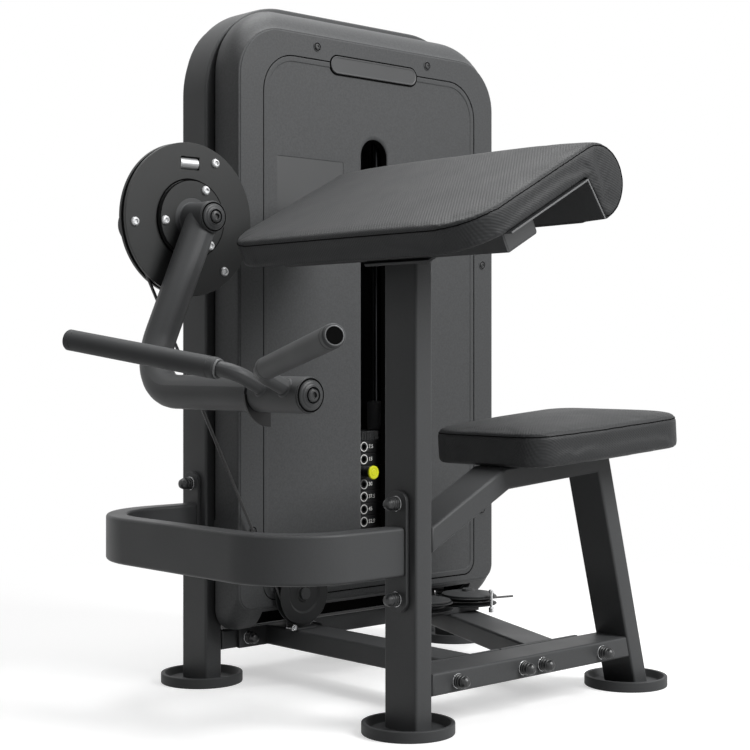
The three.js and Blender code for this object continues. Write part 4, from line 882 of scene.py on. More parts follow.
def make_materials():
    own = settings()

    def make(key, *look, **more):
        MATERIALS[key] = surface(*look, **more)[0]

    # Polyester powder coat, baked on: satin, with a fine orange peel
    make("coat", "powder_coated_steel", own.coat_colour, 0.5, grain=own.peel, depth=0.06, speckle=0.05,
         **DULL)
    # Moulded ABS with a spark-eroded grain
    make("cover", "grained_abs_moulding", own.cover_colour, 0.55, grain=4.0, depth=0.14, patch=220,
         patch_share=0.04, speckle=0.12, **DULL)
    make("inlay", "smooth_abs_inlay", "3c3d3e", 0.42, grain=3.0, depth=0.02, patch=150)
    # Near black: painted shade in gaps, holes and sunk rings, and the own black of the grips' end faces
    make("black_and_painted_shade", "painted_shade_and_black_matt", "080808", 0.8, grain=2.0, depth=0.02, **PAINTED_SHADE_GLOSS)
    # Natural rubber compound: deep black, matt
    make("rubber", "moulded_rubber", "404142", 0.62, grain=1.8, depth=0.05, **DULL)
    make("cap", "glass_filled_nylon_cap", "3a3b3c", 0.4, grain=1.6, depth=0.03, **DULL)
    # Steel rope in a nylon jacket
    make("cable", "nylon_jacketed_rope", "161617", 0.35, grain=2.2, depth=0.08)
    make("enamel", "stoved_black_enamel", "131314", 0.42, grain=2.2, depth=0.04, **DULL)
    make("nylon", "cast_nylon_wheel", "1e1f20", 0.4, grain=2.0, depth=0.03, **DULL)
    make("bolt", "black_oxide_bolt", "2a2b2c", 0.36, grain=1.6, depth=0.03)
    # Satin on the cam disc and its flange, darker than the frame's coat
    make("disc", "satin_dark_disc", "2a2b2b", 0.42, grain=2.2, depth=0.04, speckle=0.05, **DULL)
    # Blasted and zinc plated barrel, and the bare cut edge of the sheet under the pad
    make("barrel", "blasted_zinc_barrel", "c4c5c6", 0.42, metal=0.6, grain=1.2, depth=0.02, patch=9)
    make("edge", "bare_cut_sheet_edge", "6c6d6e", 0.5, metal=0.3, grain=1.2, depth=0.02, patch=30)
    # Hard chrome on ground bar, its colour kept dark so that its reflections show painted shade, and bright
    # zinc on fasteners
    make("chrome", "hard_chrome_with_painted_shade", "3a3b3d", 0.2, metal=1.0, grain=6.0, depth=0.004, patch=60,
         patch_share=0.02)
    make("zinc", "bright_zinc_plate", "d2d3d4", 0.27, metal=1.0, grain=1.4, depth=0.01, patch=12)
    make("knob", "gloss_abs_knob", own.knob_colour, 0.3, grain=3.0, depth=0.01, patch=30, patch_share=0.02)
    make("print", "white_pad_print", "e6e6e4", 0.5, grain=1.5, depth=0.01, patch=10, patch_share=0.02)
    # The welt is near black with hardly any gloss: painted shade in the sewn seam
    make("seam", "welt_painted_shade", "0b0b0c", 0.8, grain=1.2, depth=0.05, **PAINTED_SHADE_GLOSS)
    # Polished moulding of the head cover, and the grey compound of the stops above the stack
    make("gloss", "polished_abs_moulding", "1e1f20", 0.22, grain=3.0, depth=0.01)
    make("buffer", "grey_rubber_compound", "5e5f60", 0.6, grain=1.8, depth=0.05)
    MATERIALS["pad"] = upholstery("embossed_vinyl_arm_pad", own.pad_colour, own.weave, PAD_SLOPE)
    MATERIALS["seat"] = upholstery("embossed_vinyl_seat", own.pad_colour, own.weave, SEAT_SLOPE)


# Operators

class CURL_OT_feet(bpy.types.Operator):
    """Four dished rubber feet"""
    bl_idname = "curl.feet"
    bl_label = "Feet"

    def execute(self, context):
        corners = ((0, 0), (TOWER_SPAN, 0), (0, POST_Y), (LEG_REACH, POST_Y))
        spots = [((x, y, 0), (0, 0, 1)) for x, y in corners]
        add_piece("rubber_feet", copies(spun(FOOT_DISH, 2.2, 96), spots), "rubber",
                  nodes=["foot_tower_left", "foot_tower_right", "foot_post", "foot_seat_leg"])
        return {"FINISHED"}


class CURL_OT_bent_frames(bpy.types.Operator):
    """Tower tube and guard rail, each bent from one length"""
    bl_idname = "curl.bent_frames"
    bl_label = "Bent frames"

    def execute(self, context):
        crown = TOWER_HEIGHT - TUBE_THIN / 2
        path = [(0, LEG_BOTTOM), (0, crown), (TOWER_SPAN, crown), (TOWER_SPAN, LEG_BOTTOM)]
        tower = tube(path, TUBE_THIN, TUBE_WIDE, TUBE_EDGE, (TOWER_BEND, TOWER_BEND), 28)
        add_piece("tower_tube", tower, nodes=["tower_frame"], at=UPRIGHT)
        face = -TUBE_THIN / 2 - GAP
        path = [(face - 2, 0), (-RAIL_REACH, 0), (-RAIL_REACH, POST_Y), (face - 2, POST_Y)]
        rail = moved(tube(path, TUBE_THIN, RAIL_TALL, TUBE_EDGE + 1, RAIL_BENDS, 28), shift(z=RAIL_MIDDLE))
        half_wide, half_tall = RAIL_PLATE_WIDE / 2, RAIL_PLATE_TALL / 2
        outline = rounded_rect((-half_wide, -half_tall), (half_wide, half_tall), RAIL_PLATE_CORNER)
        lug = slab(outline, 0, END_PLATE, 1)
        turn = Matrix.Rotation(-QUARTER, 4, "Z") @ UPRIGHT
        lugs = [moved(lug, shift(face, y, RAIL_MIDDLE) @ turn) for y in (0, POST_Y)]
        add_piece("guard_rail_tube", united(rail, *lugs), nodes=["guard_rail"])
        return {"FINISHED"}


class CURL_OT_welded_bars(bpy.types.Operator):
    """Post, seat frame, beam and crossbars of straight tube"""
    bl_idname = "curl.welded_bars"
    bl_label = "Welded bars"

    def execute(self, context):
        half = TUBE_WIDE / 2
        thin = TUBE_THIN / 2
        pad_bar_bottom = -PAD_SHEET - 2 * GAP - TUBE_THIN
        post_top = PAD_HEIGHT + (pad_bar_bottom - GAP) / math.cos(PAD_SLOPE)
        slope_cut = (-math.cos(PAD_SLOPE), -math.sin(PAD_SLOPE))

        def upright(path, name, nodes, more=(), **cuts):
            shell = slab(bar_outline(path, TUBE_THIN, **cuts), -half, half, TUBE_EDGE)
            return add_piece(name, united(shell, *more), nodes=nodes, at=AT_POST @ UPRIGHT)

        low, high = POST_FLANGE
        flange = moved(block((*low, -TUBE_WIDE), (*high, TUBE_WIDE), 1.2),
                       shift(0, post_top) @ Matrix.Rotation(PAD_SLOPE, 4, "Z"))
        upright([(0, LEG_BOTTOM), (0, post_top)], "pad_post", ["post"], [flange], end_cut=slope_cut)
        leg_top = STRUT_TOP[1] + (LEG_TOP_X - STRUT_TOP[0]) * math.tan(SEAT_SLOPE)
        upright([(thin + GAP, STRUT_FOOT), STRUT_TOP, (LEG_TOP_X, leg_top), (LEG_REACH, LEG_BOTTOM)],
                "seat_bars", ["seat_frame"], start_cut=(0, 1), end_cut=(1, 0))
        lean = math.atan2(LEG_REACH - LEG_TOP_X, leg_top - LEG_BOTTOM)
        end = LEG_REACH - (BOLT_Z - LEG_BOTTOM) * math.tan(lean) - (thin + GAP) / math.cos(lean)
        upright([(thin + GAP, BOLT_Z), (end, BOLT_Z)], "floor_beam", ["base_beam"], start_cut=(0, 1),
                end_cut=(-math.sin(lean), math.cos(lean)))
        near, far = POST_Y + half + GAP, -half - GAP
        wide = CAP_INSET + PLATE_PAST_BOLT
        bars = (("left_floor_bar", "left_crossbar", LEFT_BAR_X, LEFT_BAR_X),
                ("right_floor_bar", "right_crossbar", RIGHT_BAR_X, RIGHT_BAR_FAR_X))
        for name, node, near_x, far_x in bars:
            line = [(near_x, near), (far_x, far)]
            outline = bar_outline(line, TUBE_WIDE, start_cut=(-1, 0), end_cut=(-1, 0))
            bar = slab(outline, BASE_BOTTOM, BASE_TOP, TUBE_EDGE)
            ends = [block((near_x - wide, near, BASE_BOTTOM), (near_x + wide, near + END_PLATE, BASE_TOP)),
                    block((far_x - wide, far - END_PLATE, BASE_BOTTOM), (far_x + wide, far, BASE_TOP))]
            add_piece(name, united(bar, *ends), nodes=[node])
        dress(["tower_base_tube", "top_sheave_bracket"], "coat")
        return {"FINISHED"}


class CURL_OT_bolts(bpy.types.Operator):
    """Cap bolts with their washers, and the sunk screws of the cover"""
    bl_idname = "curl.bolts"
    bl_label = "Bolts and screws"

    def execute(self, context):
        size = settings().bolt_size
        beam = POST_Y - TUBE_WIDE / 2
        tower = -TUBE_WIDE / 2 - GAP - END_PLATE
        rail = -TUBE_THIN / 2 - GAP - END_PLATE
        pairs = ((LEFT_BAR_X, beam), (RIGHT_BAR_X, beam), (LEFT_BAR_X, tower), (RIGHT_BAR_FAR_X, tower))
        spots = [((x + way * CAP_INSET, y, BOLT_Z), (0, -1, 0)) for x, y in pairs for way in (-1, 1)]
        heights = [RAIL_MIDDLE + way * RAIL_BOLTS for way in (-1, 1)]
        spots += [((rail, y, z), (-1, 0, 0)) for y in (0, POST_Y) for z in heights]
        add_piece("bolt_washers", copies(spun(BOLT_WASHER, 0.4, 40), spots, size), "zinc")
        add_piece("bolt_caps", copies(spun(BOLT_CAP, 0.9, 40), spots, size), "bolt")
        fronts = [((x, -COVER_FRONT, z), (0, -1, 0)) for x, z in COVER_SCREWS]
        backs = [((x, COVER_BACK, z), (0, 1, 0)) for x, z in COVER_SCREWS]
        # The wells are near-black discs under the cover screws' rims: painted shade in their recesses
        parts = (("screw_rims", spun(SCREW_RIM, 0.5, 32, True), "cover"),
                 ("screw_wells", lathe(SCREW_WELL, 32), "black_and_painted_shade"),
                 ("screw_heads", spun(SCREW_HEAD, 0.5, 24), "bolt"))
        for name, shell, finish in parts:
            add_piece(name, copies(shell, fronts + backs), finish)
        return {"FINISHED"}


def cover_shell(depth, inset, opening=None):
    """Dished cover from its rear edge to its face, with a wall, and an opening through the face"""
    def ring(back, lift, side, radii):
        return [Vector((x, -back, z)) for x, z in rounded_rect(
            (inset + side, COVER_BOTTOM + lift), (TOWER_SPAN - inset - side, COVER_TOP - lift),
            (radii[0] - side, radii[1] - side), 14)()]

    def face_ring(side, back):
        return ring(back, COVER_SLOPE + side - COVER_EDGE / 4, side, COVER_FACE_RADII)

    rings = [ring(COVER_REAR, COVER_WALL, COVER_WALL, COVER_RADII), ring(COVER_REAR, 1, 1, COVER_RADII)]
    rim_start, rim_end = COVER_REAR + 1, depth - COVER_EDGE
    for k in range(13):
        share = k / 13
        radii = [wide + (near - wide) * share for wide, near in zip(COVER_RADII, COVER_FACE_RADII)]
        rings.append(ring(rim_start + (rim_end - rim_start) * share, COVER_SLOPE * share ** 3, 0, radii))
    for inward, drop in COVER_STEP:
        rings.append(face_ring(inward, depth - drop))
    inner = face_ring(COVER_WALL + 2, depth - COVER_WALL)
    points, faces = united(loft(rings, caps=False), loft([inner, rings[0]], caps=False))
    for edge, back in ((rings[-1], depth), (inner, depth - COVER_WALL)):
        loops = [list(edge)]
        if opening:
            loops.append([Vector((x, -back, z)) for x, z in opening])
        start = len(points)
        points += [point for loop in loops for point in loop]
        faces += [tuple(start + i for i in corner) for corner in tessellate_polygon(loops)]
    wide, long, half_tall = COVER_TAB
    tabs = [block((x, -COVER_REAR - long, z - half_tall), (x + wide, -TUBE_WIDE / 2 - GAP, z + half_tall))
            for x in (inset + 2, TOWER_SPAN - inset - 2 - wide) for z in TAB_HEIGHTS]
    return united((points, faces), *tabs)


class CURL_OT_covers(bpy.types.Operator):
    """Moulded tower covers, with the front's sunk panel, slot and bare plates"""
    bl_idname = "curl.covers"
    bl_label = "Covers"

    def execute(self, context):
        panel = rounded_rect(PANEL_LOW, PANEL_HIGH, PANEL_RADII, 14)
        slot_low, slot_high = (SLOT_X - SLOT_HALF, SLOT_BOTTOM), (SLOT_X + SLOT_HALF, SLOT_TOP)
        slot = rounded_rect(slot_low, slot_high, (3.0, SLOT_HALF - 0.01), 14)
        placard = rounded_rect(PLACARD_LOW, PLACARD_HIGH, 2.5, 4)
        turn = shift(TOWER_SPAN) @ Matrix.Rotation(HALF, 4, "Z")
        sides = (("front", COVER_FRONT, COVER_FRONT_INSET, panel(-2.2), Matrix()),
                 ("rear", COVER_BACK, COVER_BACK_INSET, None, turn))
        for side, depth, inset, opening, at in sides:
            under = block((UNDERCUT_X, 2 * COVER_WALL - depth, COVER_BOTTOM - 2),
                          (TOWER_SPAN - UNDERCUT_X, -COVER_REAR + 2, COVER_BOTTOM + COVER_SLOPE), 0.5)
            add_piece(f"{side}_cover_shell", cover_shell(depth, inset, opening), "cover",
                      nodes=[f"{side}_cover"], at=at, cutters=[under])
        # A near-black band fills the space between the tower tube and the covers' rear edges: painted shade
        outer = rounded_rect((1, COVER_BOTTOM + 3), (TOWER_SPAN - 1, COVER_TOP - 4), (38, 136), 14)
        inner = rounded_rect((22, RISER_TOP), (TOWER_SPAN - 22, COVER_TOP - 26), (20, 114), 14)
        cable_way = rounded_rect((RISE_X - 24, COVER_BOTTOM + 6), (RISE_X + 24, RISER_TOP - 4), 3, 4)
        band = slab(outer, TUBE_WIDE / 2 + 0.8, COVER_REAR - 0.6, 0.3, [inner, cable_way], 2)
        add_piece("cover_gap_band", band, "black_and_painted_shade", at=UPRIGHT)
        # Heights are outward from the face, so they are drawn on a plane and stood up.
        stand = shift(0, -COVER_FRONT) @ UPRIGHT
        # A near-black ledge under the panel's edge: painted shade in the space round the panel
        seat = plate(panel, [(-6.0, -COVER_WALL), (-6.0, -COVER_WALL - 2.0)],
                     [(panel, [(6.0, -COVER_WALL), (6.0, -COVER_WALL - 2.0)])])
        add_piece("panel_ledge", seat, "black_and_painted_shade", at=stand)
        # The panel's own edge, a raised border, a fine step, and the field that lies a little lower
        field = plate(panel, PANEL_STEPS, [(slot, SLOT_STEPS), (placard, PLACARD_STEPS)])
        add_piece("front_panel", field, "cover", at=stand, sharp=50)
        # Near-black walls round the slot: painted shade inside it
        lining = plate(slot, [(-2.2, -4.6), (-2.2, -22.0)], [(slot, [(0.0, -4.6), (0.0, -22.0)])])
        add_piece("slot_lining", lining, "black_and_painted_shade", at=stand)
        add_piece("placard_inlay", slab(placard, -5.5, -2.6, 0.4), "inlay", at=stand)
        low, high = NAME_PLATE
        radius = (high[1] - low[1]) / 2 - 0.1
        # A near-black rim round the badge: painted shade in the space round it
        gap = slab(rounded_rect(low, high, radius, 16), -3, 0.25)
        add_piece("name_plate_gap", gap, "black_and_painted_shade", at=stand)
        bed = rounded_rect((low[0] + 3, low[1] + 3), (high[0] - 3, high[1] - 3), radius - 3, 16)
        add_piece("name_plate", plate(bed, BADGE_STEPS), "inlay", at=stand, sharp=60)
        return {"FINISHED"}


class CURL_OT_stack(bpy.types.Operator):
    """Weight plates with printed scale, head cover, rods, cushions and selector"""
    bl_idname = "curl.stack"
    bl_label = "Weight stack"

    def execute(self, context):
        bores = [circle(ROD_BORE, -ROD_SHIFT), circle(SELECTOR_BORE), circle(ROD_BORE, ROD_SHIFT)]
        outline = rounded_rect((-PLATE_WIDE / 2, -PLATE_DEEP / 2), (PLATE_WIDE / 2, PLATE_DEEP / 2), 6, 5)
        solid = slab(outline, -PLATE_THICK / 2, PLATE_THICK / 2, 1.6, bores, 3)
        iron = bare_object("iron", solid, Matrix())
        carve(iron, [moved(lathe(PIN_BORE, 32), UPRIGHT)], Matrix())
        shell = shell_of(iron.data)
        bpy.data.objects.remove(iron)
        ring = moved(spun(SCALE_RING, 0.1, 40, True), shift(0, -PLATE_DEEP / 2) @ UPRIGHT)
        names = [f"weight_plate_{i + 1:02d}" for i in range(PLATE_COUNT)]
        for name, first, last, body in (("lifted", 0, LIFTED, "weight_stack"),
                                        ("resting", LIFTED, PLATE_COUNT, "frame")):
            values = {"Count": last - first, "Pitch": PLATE_PITCH, "Top": TOP_HOLE - first * PLATE_PITCH}
            plates = run_tree(pile_tree, shell, values)
            add_piece(f"{name}_plates", plates, "enamel", body, names[first:last], at=STACK_AT)
            rings = run_tree(pile_tree, ring, values)
            add_piece(f"{name}_hole_rings", rings, "print", body, at=STACK_AT)
        self.numbers()
        self.head_cover(bores)
        self.selector()
        for way in (-1, 1):
            spot = shift(SLOT_X + way * ROD_SHIFT, STACK_Y)
            side = "left" if way < 0 else "right"
            low, high, ceiling = RISER_TOP + GAP, STACK_BOTTOM, TOWER_HEIGHT - TUBE_THIN - GAP
            rod = spun([(0, low), (ROD_RADIUS, low), (ROD_RADIUS, ceiling), (0, ceiling)], 1.5)
            add_piece(f"chromed_rod_{side}", rod, "chrome", nodes=[f"guide_rod_{side}"], at=spot)
            waist = (low + high) / 2
            profile = [(ROD_BORE, low), (31, low), (26, waist), (31, high), (ROD_BORE, high)]
            buffer = spun(profile, 4, 48, True, 6)
            add_piece(f"buffer_{side}", buffer, "rubber", nodes=[f"stack_cushion_{side}"], at=spot)
            seat = HEAD_TOP + GAP
            top = seat + STOP_TALL
            profile = [(ROD_BORE, seat), (21, seat), (21, top - 5), (16, top), (ROD_BORE, top)]
            stop = spun(profile, 1.5, 48, True)
            add_piece(f"upper_stop_{side}", stop, "buffer", "weight_stack", [f"rod_bumper_{side}"], at=spot)
        return {"FINISHED"}

    def numbers(self):
        """Plain weights beside the holes, printed on the plates"""
        step = settings().first_weight
        groups = {"weight_stack": [], "frame": []}
        for i in range(PLATE_COUNT):
            curve = bpy.data.curves.new("words", "FONT")
            curve.body = f"{step * (i + 1):g}"
            curve.size = NUMBER_TALL
            curve.offset = curve.extrude = NUMBER_FAT
            curve.align_y = "CENTER"
            text = bpy.data.objects.new("words", curve)
            bpy.context.scene.collection.objects.link(text)
            drawn = text.evaluated_get(bpy.context.evaluated_depsgraph_get())
            shell = shell_of(bpy.data.meshes.new_from_object(drawn))
            bpy.data.objects.remove(text)
            place = (SLOT_X + 13, STACK_Y - PLATE_DEEP / 2 - 0.15, TOP_HOLE - i * PLATE_PITCH)
            group = groups["weight_stack" if i < LIFTED else "frame"]
            group.append(moved(shell, Matrix.Translation(place) @ UPRIGHT))
        for body, shells in groups.items():
            piece = bare_object(f"scale_numbers_{body}", united(*shells))
            finish_piece(piece, "print", body)

    def head_cover(self, bores):
        half = PLATE_WIDE / 2 - 6
        sweep = 2 * math.asin(half / HEAD_ARC)
        centre = HEAD_ARC - PLATE_DEEP / 2 - 2

        def ring(inset=0.0):
            points = [(half - inset, PLATE_DEEP / 2 - inset), (-half + inset, PLATE_DEEP / 2 - inset)]
            for k in range(4 * HEAD_RIBS + 1):
                angle = -QUARTER - sweep / 2 + sweep * k / (4 * HEAD_RIBS)
                radius = HEAD_ARC - (2 if k % 4 in (2, 3) else 0) - inset
                x = max(-half + inset, min(half - inset, math.cos(angle) * radius))
                points.append((x, math.sin(angle) * radius + centre))
            return points

        cover = slab(ring, STACK_TOP + GAP, HEAD_TOP, 0.9, bores, 3)
        add_piece("ribbed_head_cover", cover, "gloss", "weight_stack", ["stack_head_cover"], at=STACK_AT)
        rim = spun(HEAD_RING, 0.4, 40, True)
        rims = [moved(rim, shift(way * ROD_SHIFT, 0, HEAD_TOP - 1)) for way in (-1, 1)]
        add_piece("head_cover_rings", united(*rims), "bolt", "weight_stack", at=STACK_AT)

    def selector(self):
        low, collar, top = STACK_BOTTOM + GAP, HEAD_TOP + GAP, SELECTOR_TOP
        rod = spun([(0, low), (9, low), (11, low + 2), (11, collar), (18, collar),
                    (18, top - 10), (15, top - 5), (13, top), (0, top)])
        holes = [moved(lathe(ROD_HOLE, 24), shift(0, 0, TOP_HOLE - i * PLATE_PITCH) @ UPRIGHT)
                 for i in range(PLATE_COUNT)]
        add_piece("drilled_selector_rod", rod, "zinc", "weight_stack", ["selector_rod"], at=STACK_AT,
                  cutters=holes)
        spot = shift(SLOT_X, 0, PIN_Z)
        add_piece("knob_body", turned(KNOB_BODY, 0.6), "bolt", "selector_pin", at=spot)
        add_piece("pin_knob", turned(KNOB_FACE, 0.5), "knob", "selector_pin", ["selector_pin"], at=spot)
        add_piece("pin_shaft", turned(PIN_SHAFT, 0.6, 32), "zinc", "selector_pin", at=spot)


class CURL_OT_cam(bpy.types.Operator):
    """Bearing housing, grooved cam disc, its window and screws"""
    bl_idname = "curl.cam"
    bl_label = "Cam disc"

    def execute(self, context):
        face = -TUBE_THIN / 2 - GAP
        barrel = turned(HOUSING, 1.5, 64, True)
        half = HOUSING_RADIUS
        outline = rounded_rect((0, -half), (face - CAM.x - 1, half), 1.0, 3)
        arm = moved(slab(outline, -half, half, 1.5), UPRIGHT)
        back = block((face - END_PLATE - CAM.x, -half, -75), (face - CAM.x, half, 75), 2)
        core = turned(HOUSING_CORE, 0.5, 32)
        add_piece("bearing_block", united(barrel, arm, back), nodes=["bearing_housing"], at=CAM_AT,
                  cutters=[core])
        dress(["pivot_shaft"], "zinc")
        floor = CAM_PITCH - CABLE_RADIUS - 2
        near, far = GROOVE_Y - 4, GROOVE_Y + 4
        disc = turned([
            (SHAFT_BORE, -CAM_FRONT), (74.4, -CAM_FRONT), (74.4, -CAM_FRONT + 2), (76.6, -CAM_FRONT + 2),
            (76.6, -CAM_FRONT), (CAM_RADIUS, -CAM_FRONT), (CAM_RADIUS, near), (floor, near), (floor, far),
            (CAM_RADIUS, far), (CAM_RADIUS, -CAM_REAR), (SHAFT_BORE, -CAM_REAR)], 0.9, 128, True)
        pocket = block((-21.5, -CAM_FRONT - 3, 93.5), (21.5, -CAM_FRONT + 20.5, 118.5), 1.2)
        channel = block((-CAM_PITCH, near, ANCHOR_LIFT - 4), (0, far, ANCHOR_LIFT + 4), 0.5)
        add_piece("grooved_cam", disc, "disc", "curl_arm", ["cam_disc"], at=CAM_AT, cutters=[pocket, channel])
        barrel = moved(spun(ANCHOR_BARREL, 0.6), TO_X)
        add_piece("anchor_barrel", barrel, "barrel", "curl_arm", ["cable_barrel"],
                  at=CAM_AT @ shift(0, GROOVE_Y, ANCHOR_LIFT))
        # A near-black ring round the flange on the disc's face: painted shade
        gap = turned_ring(73.9, 77.0, -CAM_FRONT - 0.2, -CAM_FRONT + 1, 0.1, 96)
        add_piece("flange_gap", gap, "black_and_painted_shade", "curl_arm", at=CAM_AT)
        spots = []
        for radius, lift in SCREW_CIRCLES:
            for angle in map(math.radians, SCREW_ANGLES):
                place = Vector((radius * math.cos(angle), -CAM_FRONT - lift, radius * math.sin(angle)))
                spots.append((CAM + place, (0, -1, 0)))
        add_piece("cam_screws", copies(spun(CAM_SCREW, 1.0, 32), spots), "barrel", "curl_arm")
        return {"FINISHED"}


class CURL_OT_arm(bpy.types.Operator):
    """Swinging arm with its hub, flange and spindle"""
    bl_idname = "curl.arm"
    bl_label = "Swinging arm"

    def execute(self, context):
        long = ARM_FOOT.length
        # The arm lies in the plane through its lean and the machine's Y axis.
        x, z = ARM_FOOT.x / long, ARM_FOOT.z / long
        down = Matrix(((x, 0, z, 0), (0, 1, 0, 0), (z, 0, -x, 0), (0, 0, 0, 1)))
        path = [(0, -ARM_PLANE), (long, -ARM_PLANE), (long, -ARM_END)]
        limb = moved(pipe(path, PIPE_RADIUS, ARM_BEND, 26), down)
        back = -CAM_FRONT - GAP
        profile = [(15.6, back), (40, back), (40, back - 8), (31.5, back - 8), (30, back - 9.5),
                   (30, -HUB_FRONT), (0, -HUB_FRONT), (0, -HUB_FRONT + 1), (15.6, -HUB_FRONT + 1)]
        hub = turned(profile, 1.2, 96, True)
        flange = turned_ring(39.5, FLANGE_RADIUS, back, back - 8, 0.8, 96)
        add_piece("arm_flange", flange, "disc", "curl_arm", at=CAM_AT)
        # A near-black ring on the flange's front edge: painted shade
        edge = turned_ring(72.2, 74.0, back - 7.6, back - 8.15, 0.1, 96)
        add_piece("flange_edge", edge, "black_and_painted_shade", "curl_arm", at=CAM_AT)
        end, radius = -ARM_END, PIPE_RADIUS + 0.1
        profile = [(0, end + 2), (26, end + 2), (26, end - 6), (SPINDLE_RADIUS, end - 6),
                   (SPINDLE_RADIUS, -SLEEVE_FRONT), (0, -SLEEVE_FRONT)]
        spindle = turned(profile, 0.8, 64)
        shoulder = turned([(0, end + 3), (radius, end + 3), (radius, end - 0.1), (0, end - 0.1)], 1.2, 64)
        at_foot = Matrix.Translation(ARM_FOOT)
        add_piece("arm_limb", united(limb, moved(spindle, at_foot), moved(shoulder, at_foot)), "coat",
                  "curl_arm", ["curl_arm"], at=CAM_AT, sharp=35)
        add_piece("arm_hub", hub, "coat", "curl_arm", at=CAM_AT)
        # Black enamel, darker than the coat beside it: partly the plate's own colour, partly painted shade
        # from the sleeve
        stop = slab(self.stop_outline, ARM_END + 1, ARM_END + 5.6, 0.5, steps=2)
        add_piece("handle_stop_plate", stop, "enamel", "curl_arm", at=CAM_AT @ at_foot @ UPRIGHT)
        for name, front, body, at in (("hub", HUB_FRONT, "curl_arm", CAM_AT),
                                      ("sleeve", SLEEVE_FRONT, "handle", HANDLE_AT)):
            self.end_cap(name, front, body, at)
        return {"FINISHED"}

    def stop_outline(self, inset=0.0):
        """A quarter of a disc low on the near side of the sleeve, seen from the front"""
        reach = STOP_REACH - inset
        arc = [(STOP_MIDDLE - reach * math.cos(QUARTER * k / 16), -reach * math.sin(QUARTER * k / 16))
               for k in range(17)]
        return [(STOP_MIDDLE - inset, -inset)] + [(x, min(y, -inset)) for x, y in arc]

    def end_cap(self, name, front, body, at):
        """Cap with a sunk ring, a cone with fine turned rings, a bolt in its middle, and near-black rings in
        its sunk places, painted shade
        """
        cone = [(24.6 - 2.1 * k, 3.6 + 1.15 * k + (0.45 if k % 2 else 0.0)) for k in range(1, 6)]
        steps = [*CAP_RIM, *cone, *CAP_MIDDLE]
        cap = turned([(radius, -front - lift) for radius, lift in steps], 0.3, 72)
        add_piece(f"{name}_end_cap", cap, "cap", body, [f"{name}_cap"], at=at)
        bolt = turned([(radius, -front - lift) for radius, lift in CENTRE_BOLT], 0.7)
        add_piece(f"{name}_bolt", bolt, "bolt", body, at=at)
        gaps = [turned_ring(low, high, -front, -front - lift, 0.1, 72) for low, high, lift in CAP_PAINTED_SHADE_RINGS]
        add_piece(f"{name}_cap_gaps", united(*gaps), "black_and_painted_shade", body, at=at)


class CURL_OT_handle(bpy.types.Operator):
    """Sleeve with two bars in a V and their rubber grips"""
    bl_idname = "curl.handle"
    bl_label = "Handle"

    def execute(self, context):
        back = -ARM_END - 6 - GAP
        sleeve = turned_ring(19.5, SLEEVE_RADIUS, -SLEEVE_FRONT, back, 1.4, 72)
        bars = []
        for side, way in (("left", 1), ("right", -1)):
            axis = Vector((math.cos(SPLAY), way * math.sin(SPLAY), 0))
            elbow = Vector((BAR_ELBOW, POST_Y + way * BAR_ROOT, 0))
            tip = elbow + axis * (GRIP_START + GRIP_LONG - 10)
            path = [(SLEEVE_RADIUS - 4, elbow.y), (elbow.x, elbow.y), (tip.x, tip.y)]
            bars.append(pipe(path, BAR_RADIUS, BAR_BEND, 16))
            bars.append(moved(spun(BAR_WELD, 1.0, 40, True), shift(SLEEVE_RADIUS - 1.0, elbow.y) @ TO_X))
            self.grip(side, HANDLE_AT @ Matrix.Translation(elbow + axis * GRIP_START) @ aimed(axis))
        add_piece("handle_bars", united(sleeve, *bars), "coat", "handle", ["handle_sleeve"], at=HANDLE_AT,
                  sharp=35)
        # A near-black ring at the back of the sleeve: painted shade
        gap = turned_ring(18.6, 26.0, back, back + 0.9, 0.2, 64)
        add_piece("sleeve_gap_ring", gap, "black_and_painted_shade", "handle", at=HANDLE_AT)
        return {"FINISHED"}

    def grip(self, side, at):
        add_piece(f"grip_ring_{side}", spun(GRIP_RING, 0.5, 56, True), "edge", "handle", at=at)
        profile = GRIP_NEAR + tuple((radius, GRIP_LONG + lift) for radius, lift in GRIP_FAR)
        add_piece(f"rubber_grip_{side}", spun(profile, 0.6, 56, True), "rubber", "handle", [f"grip_{side}"],
                  at=at)
        tip = at @ shift(z=GRIP_LONG)
        add_piece(f"grip_plug_{side}", spun(GRIP_PLUG, 0.4), "edge", "handle", at=tip)
        add_piece(f"grip_face_{side}", lathe(GRIP_FACE), "black_and_painted_shade", "handle", at=tip)


def wheel(pitch, radius, at):
    """Grooved nylon wheel about Y, with a dished web"""
    floor = pitch - CABLE_RADIUS - 2
    web = floor - 6
    half = [(8.5, -9), (16, -9), (17.5, -6.5), (web - 4, -6.5), (web, -9), (radius - 1, -9), (radius, -8.2),
            (radius, -6.4), (floor + 2, -3.4), (floor, -1.6)]
    steps = half + [(reach, -side) for reach, side in reversed(half)]
    return moved(turned(steps, 0.7, 80, True), at)


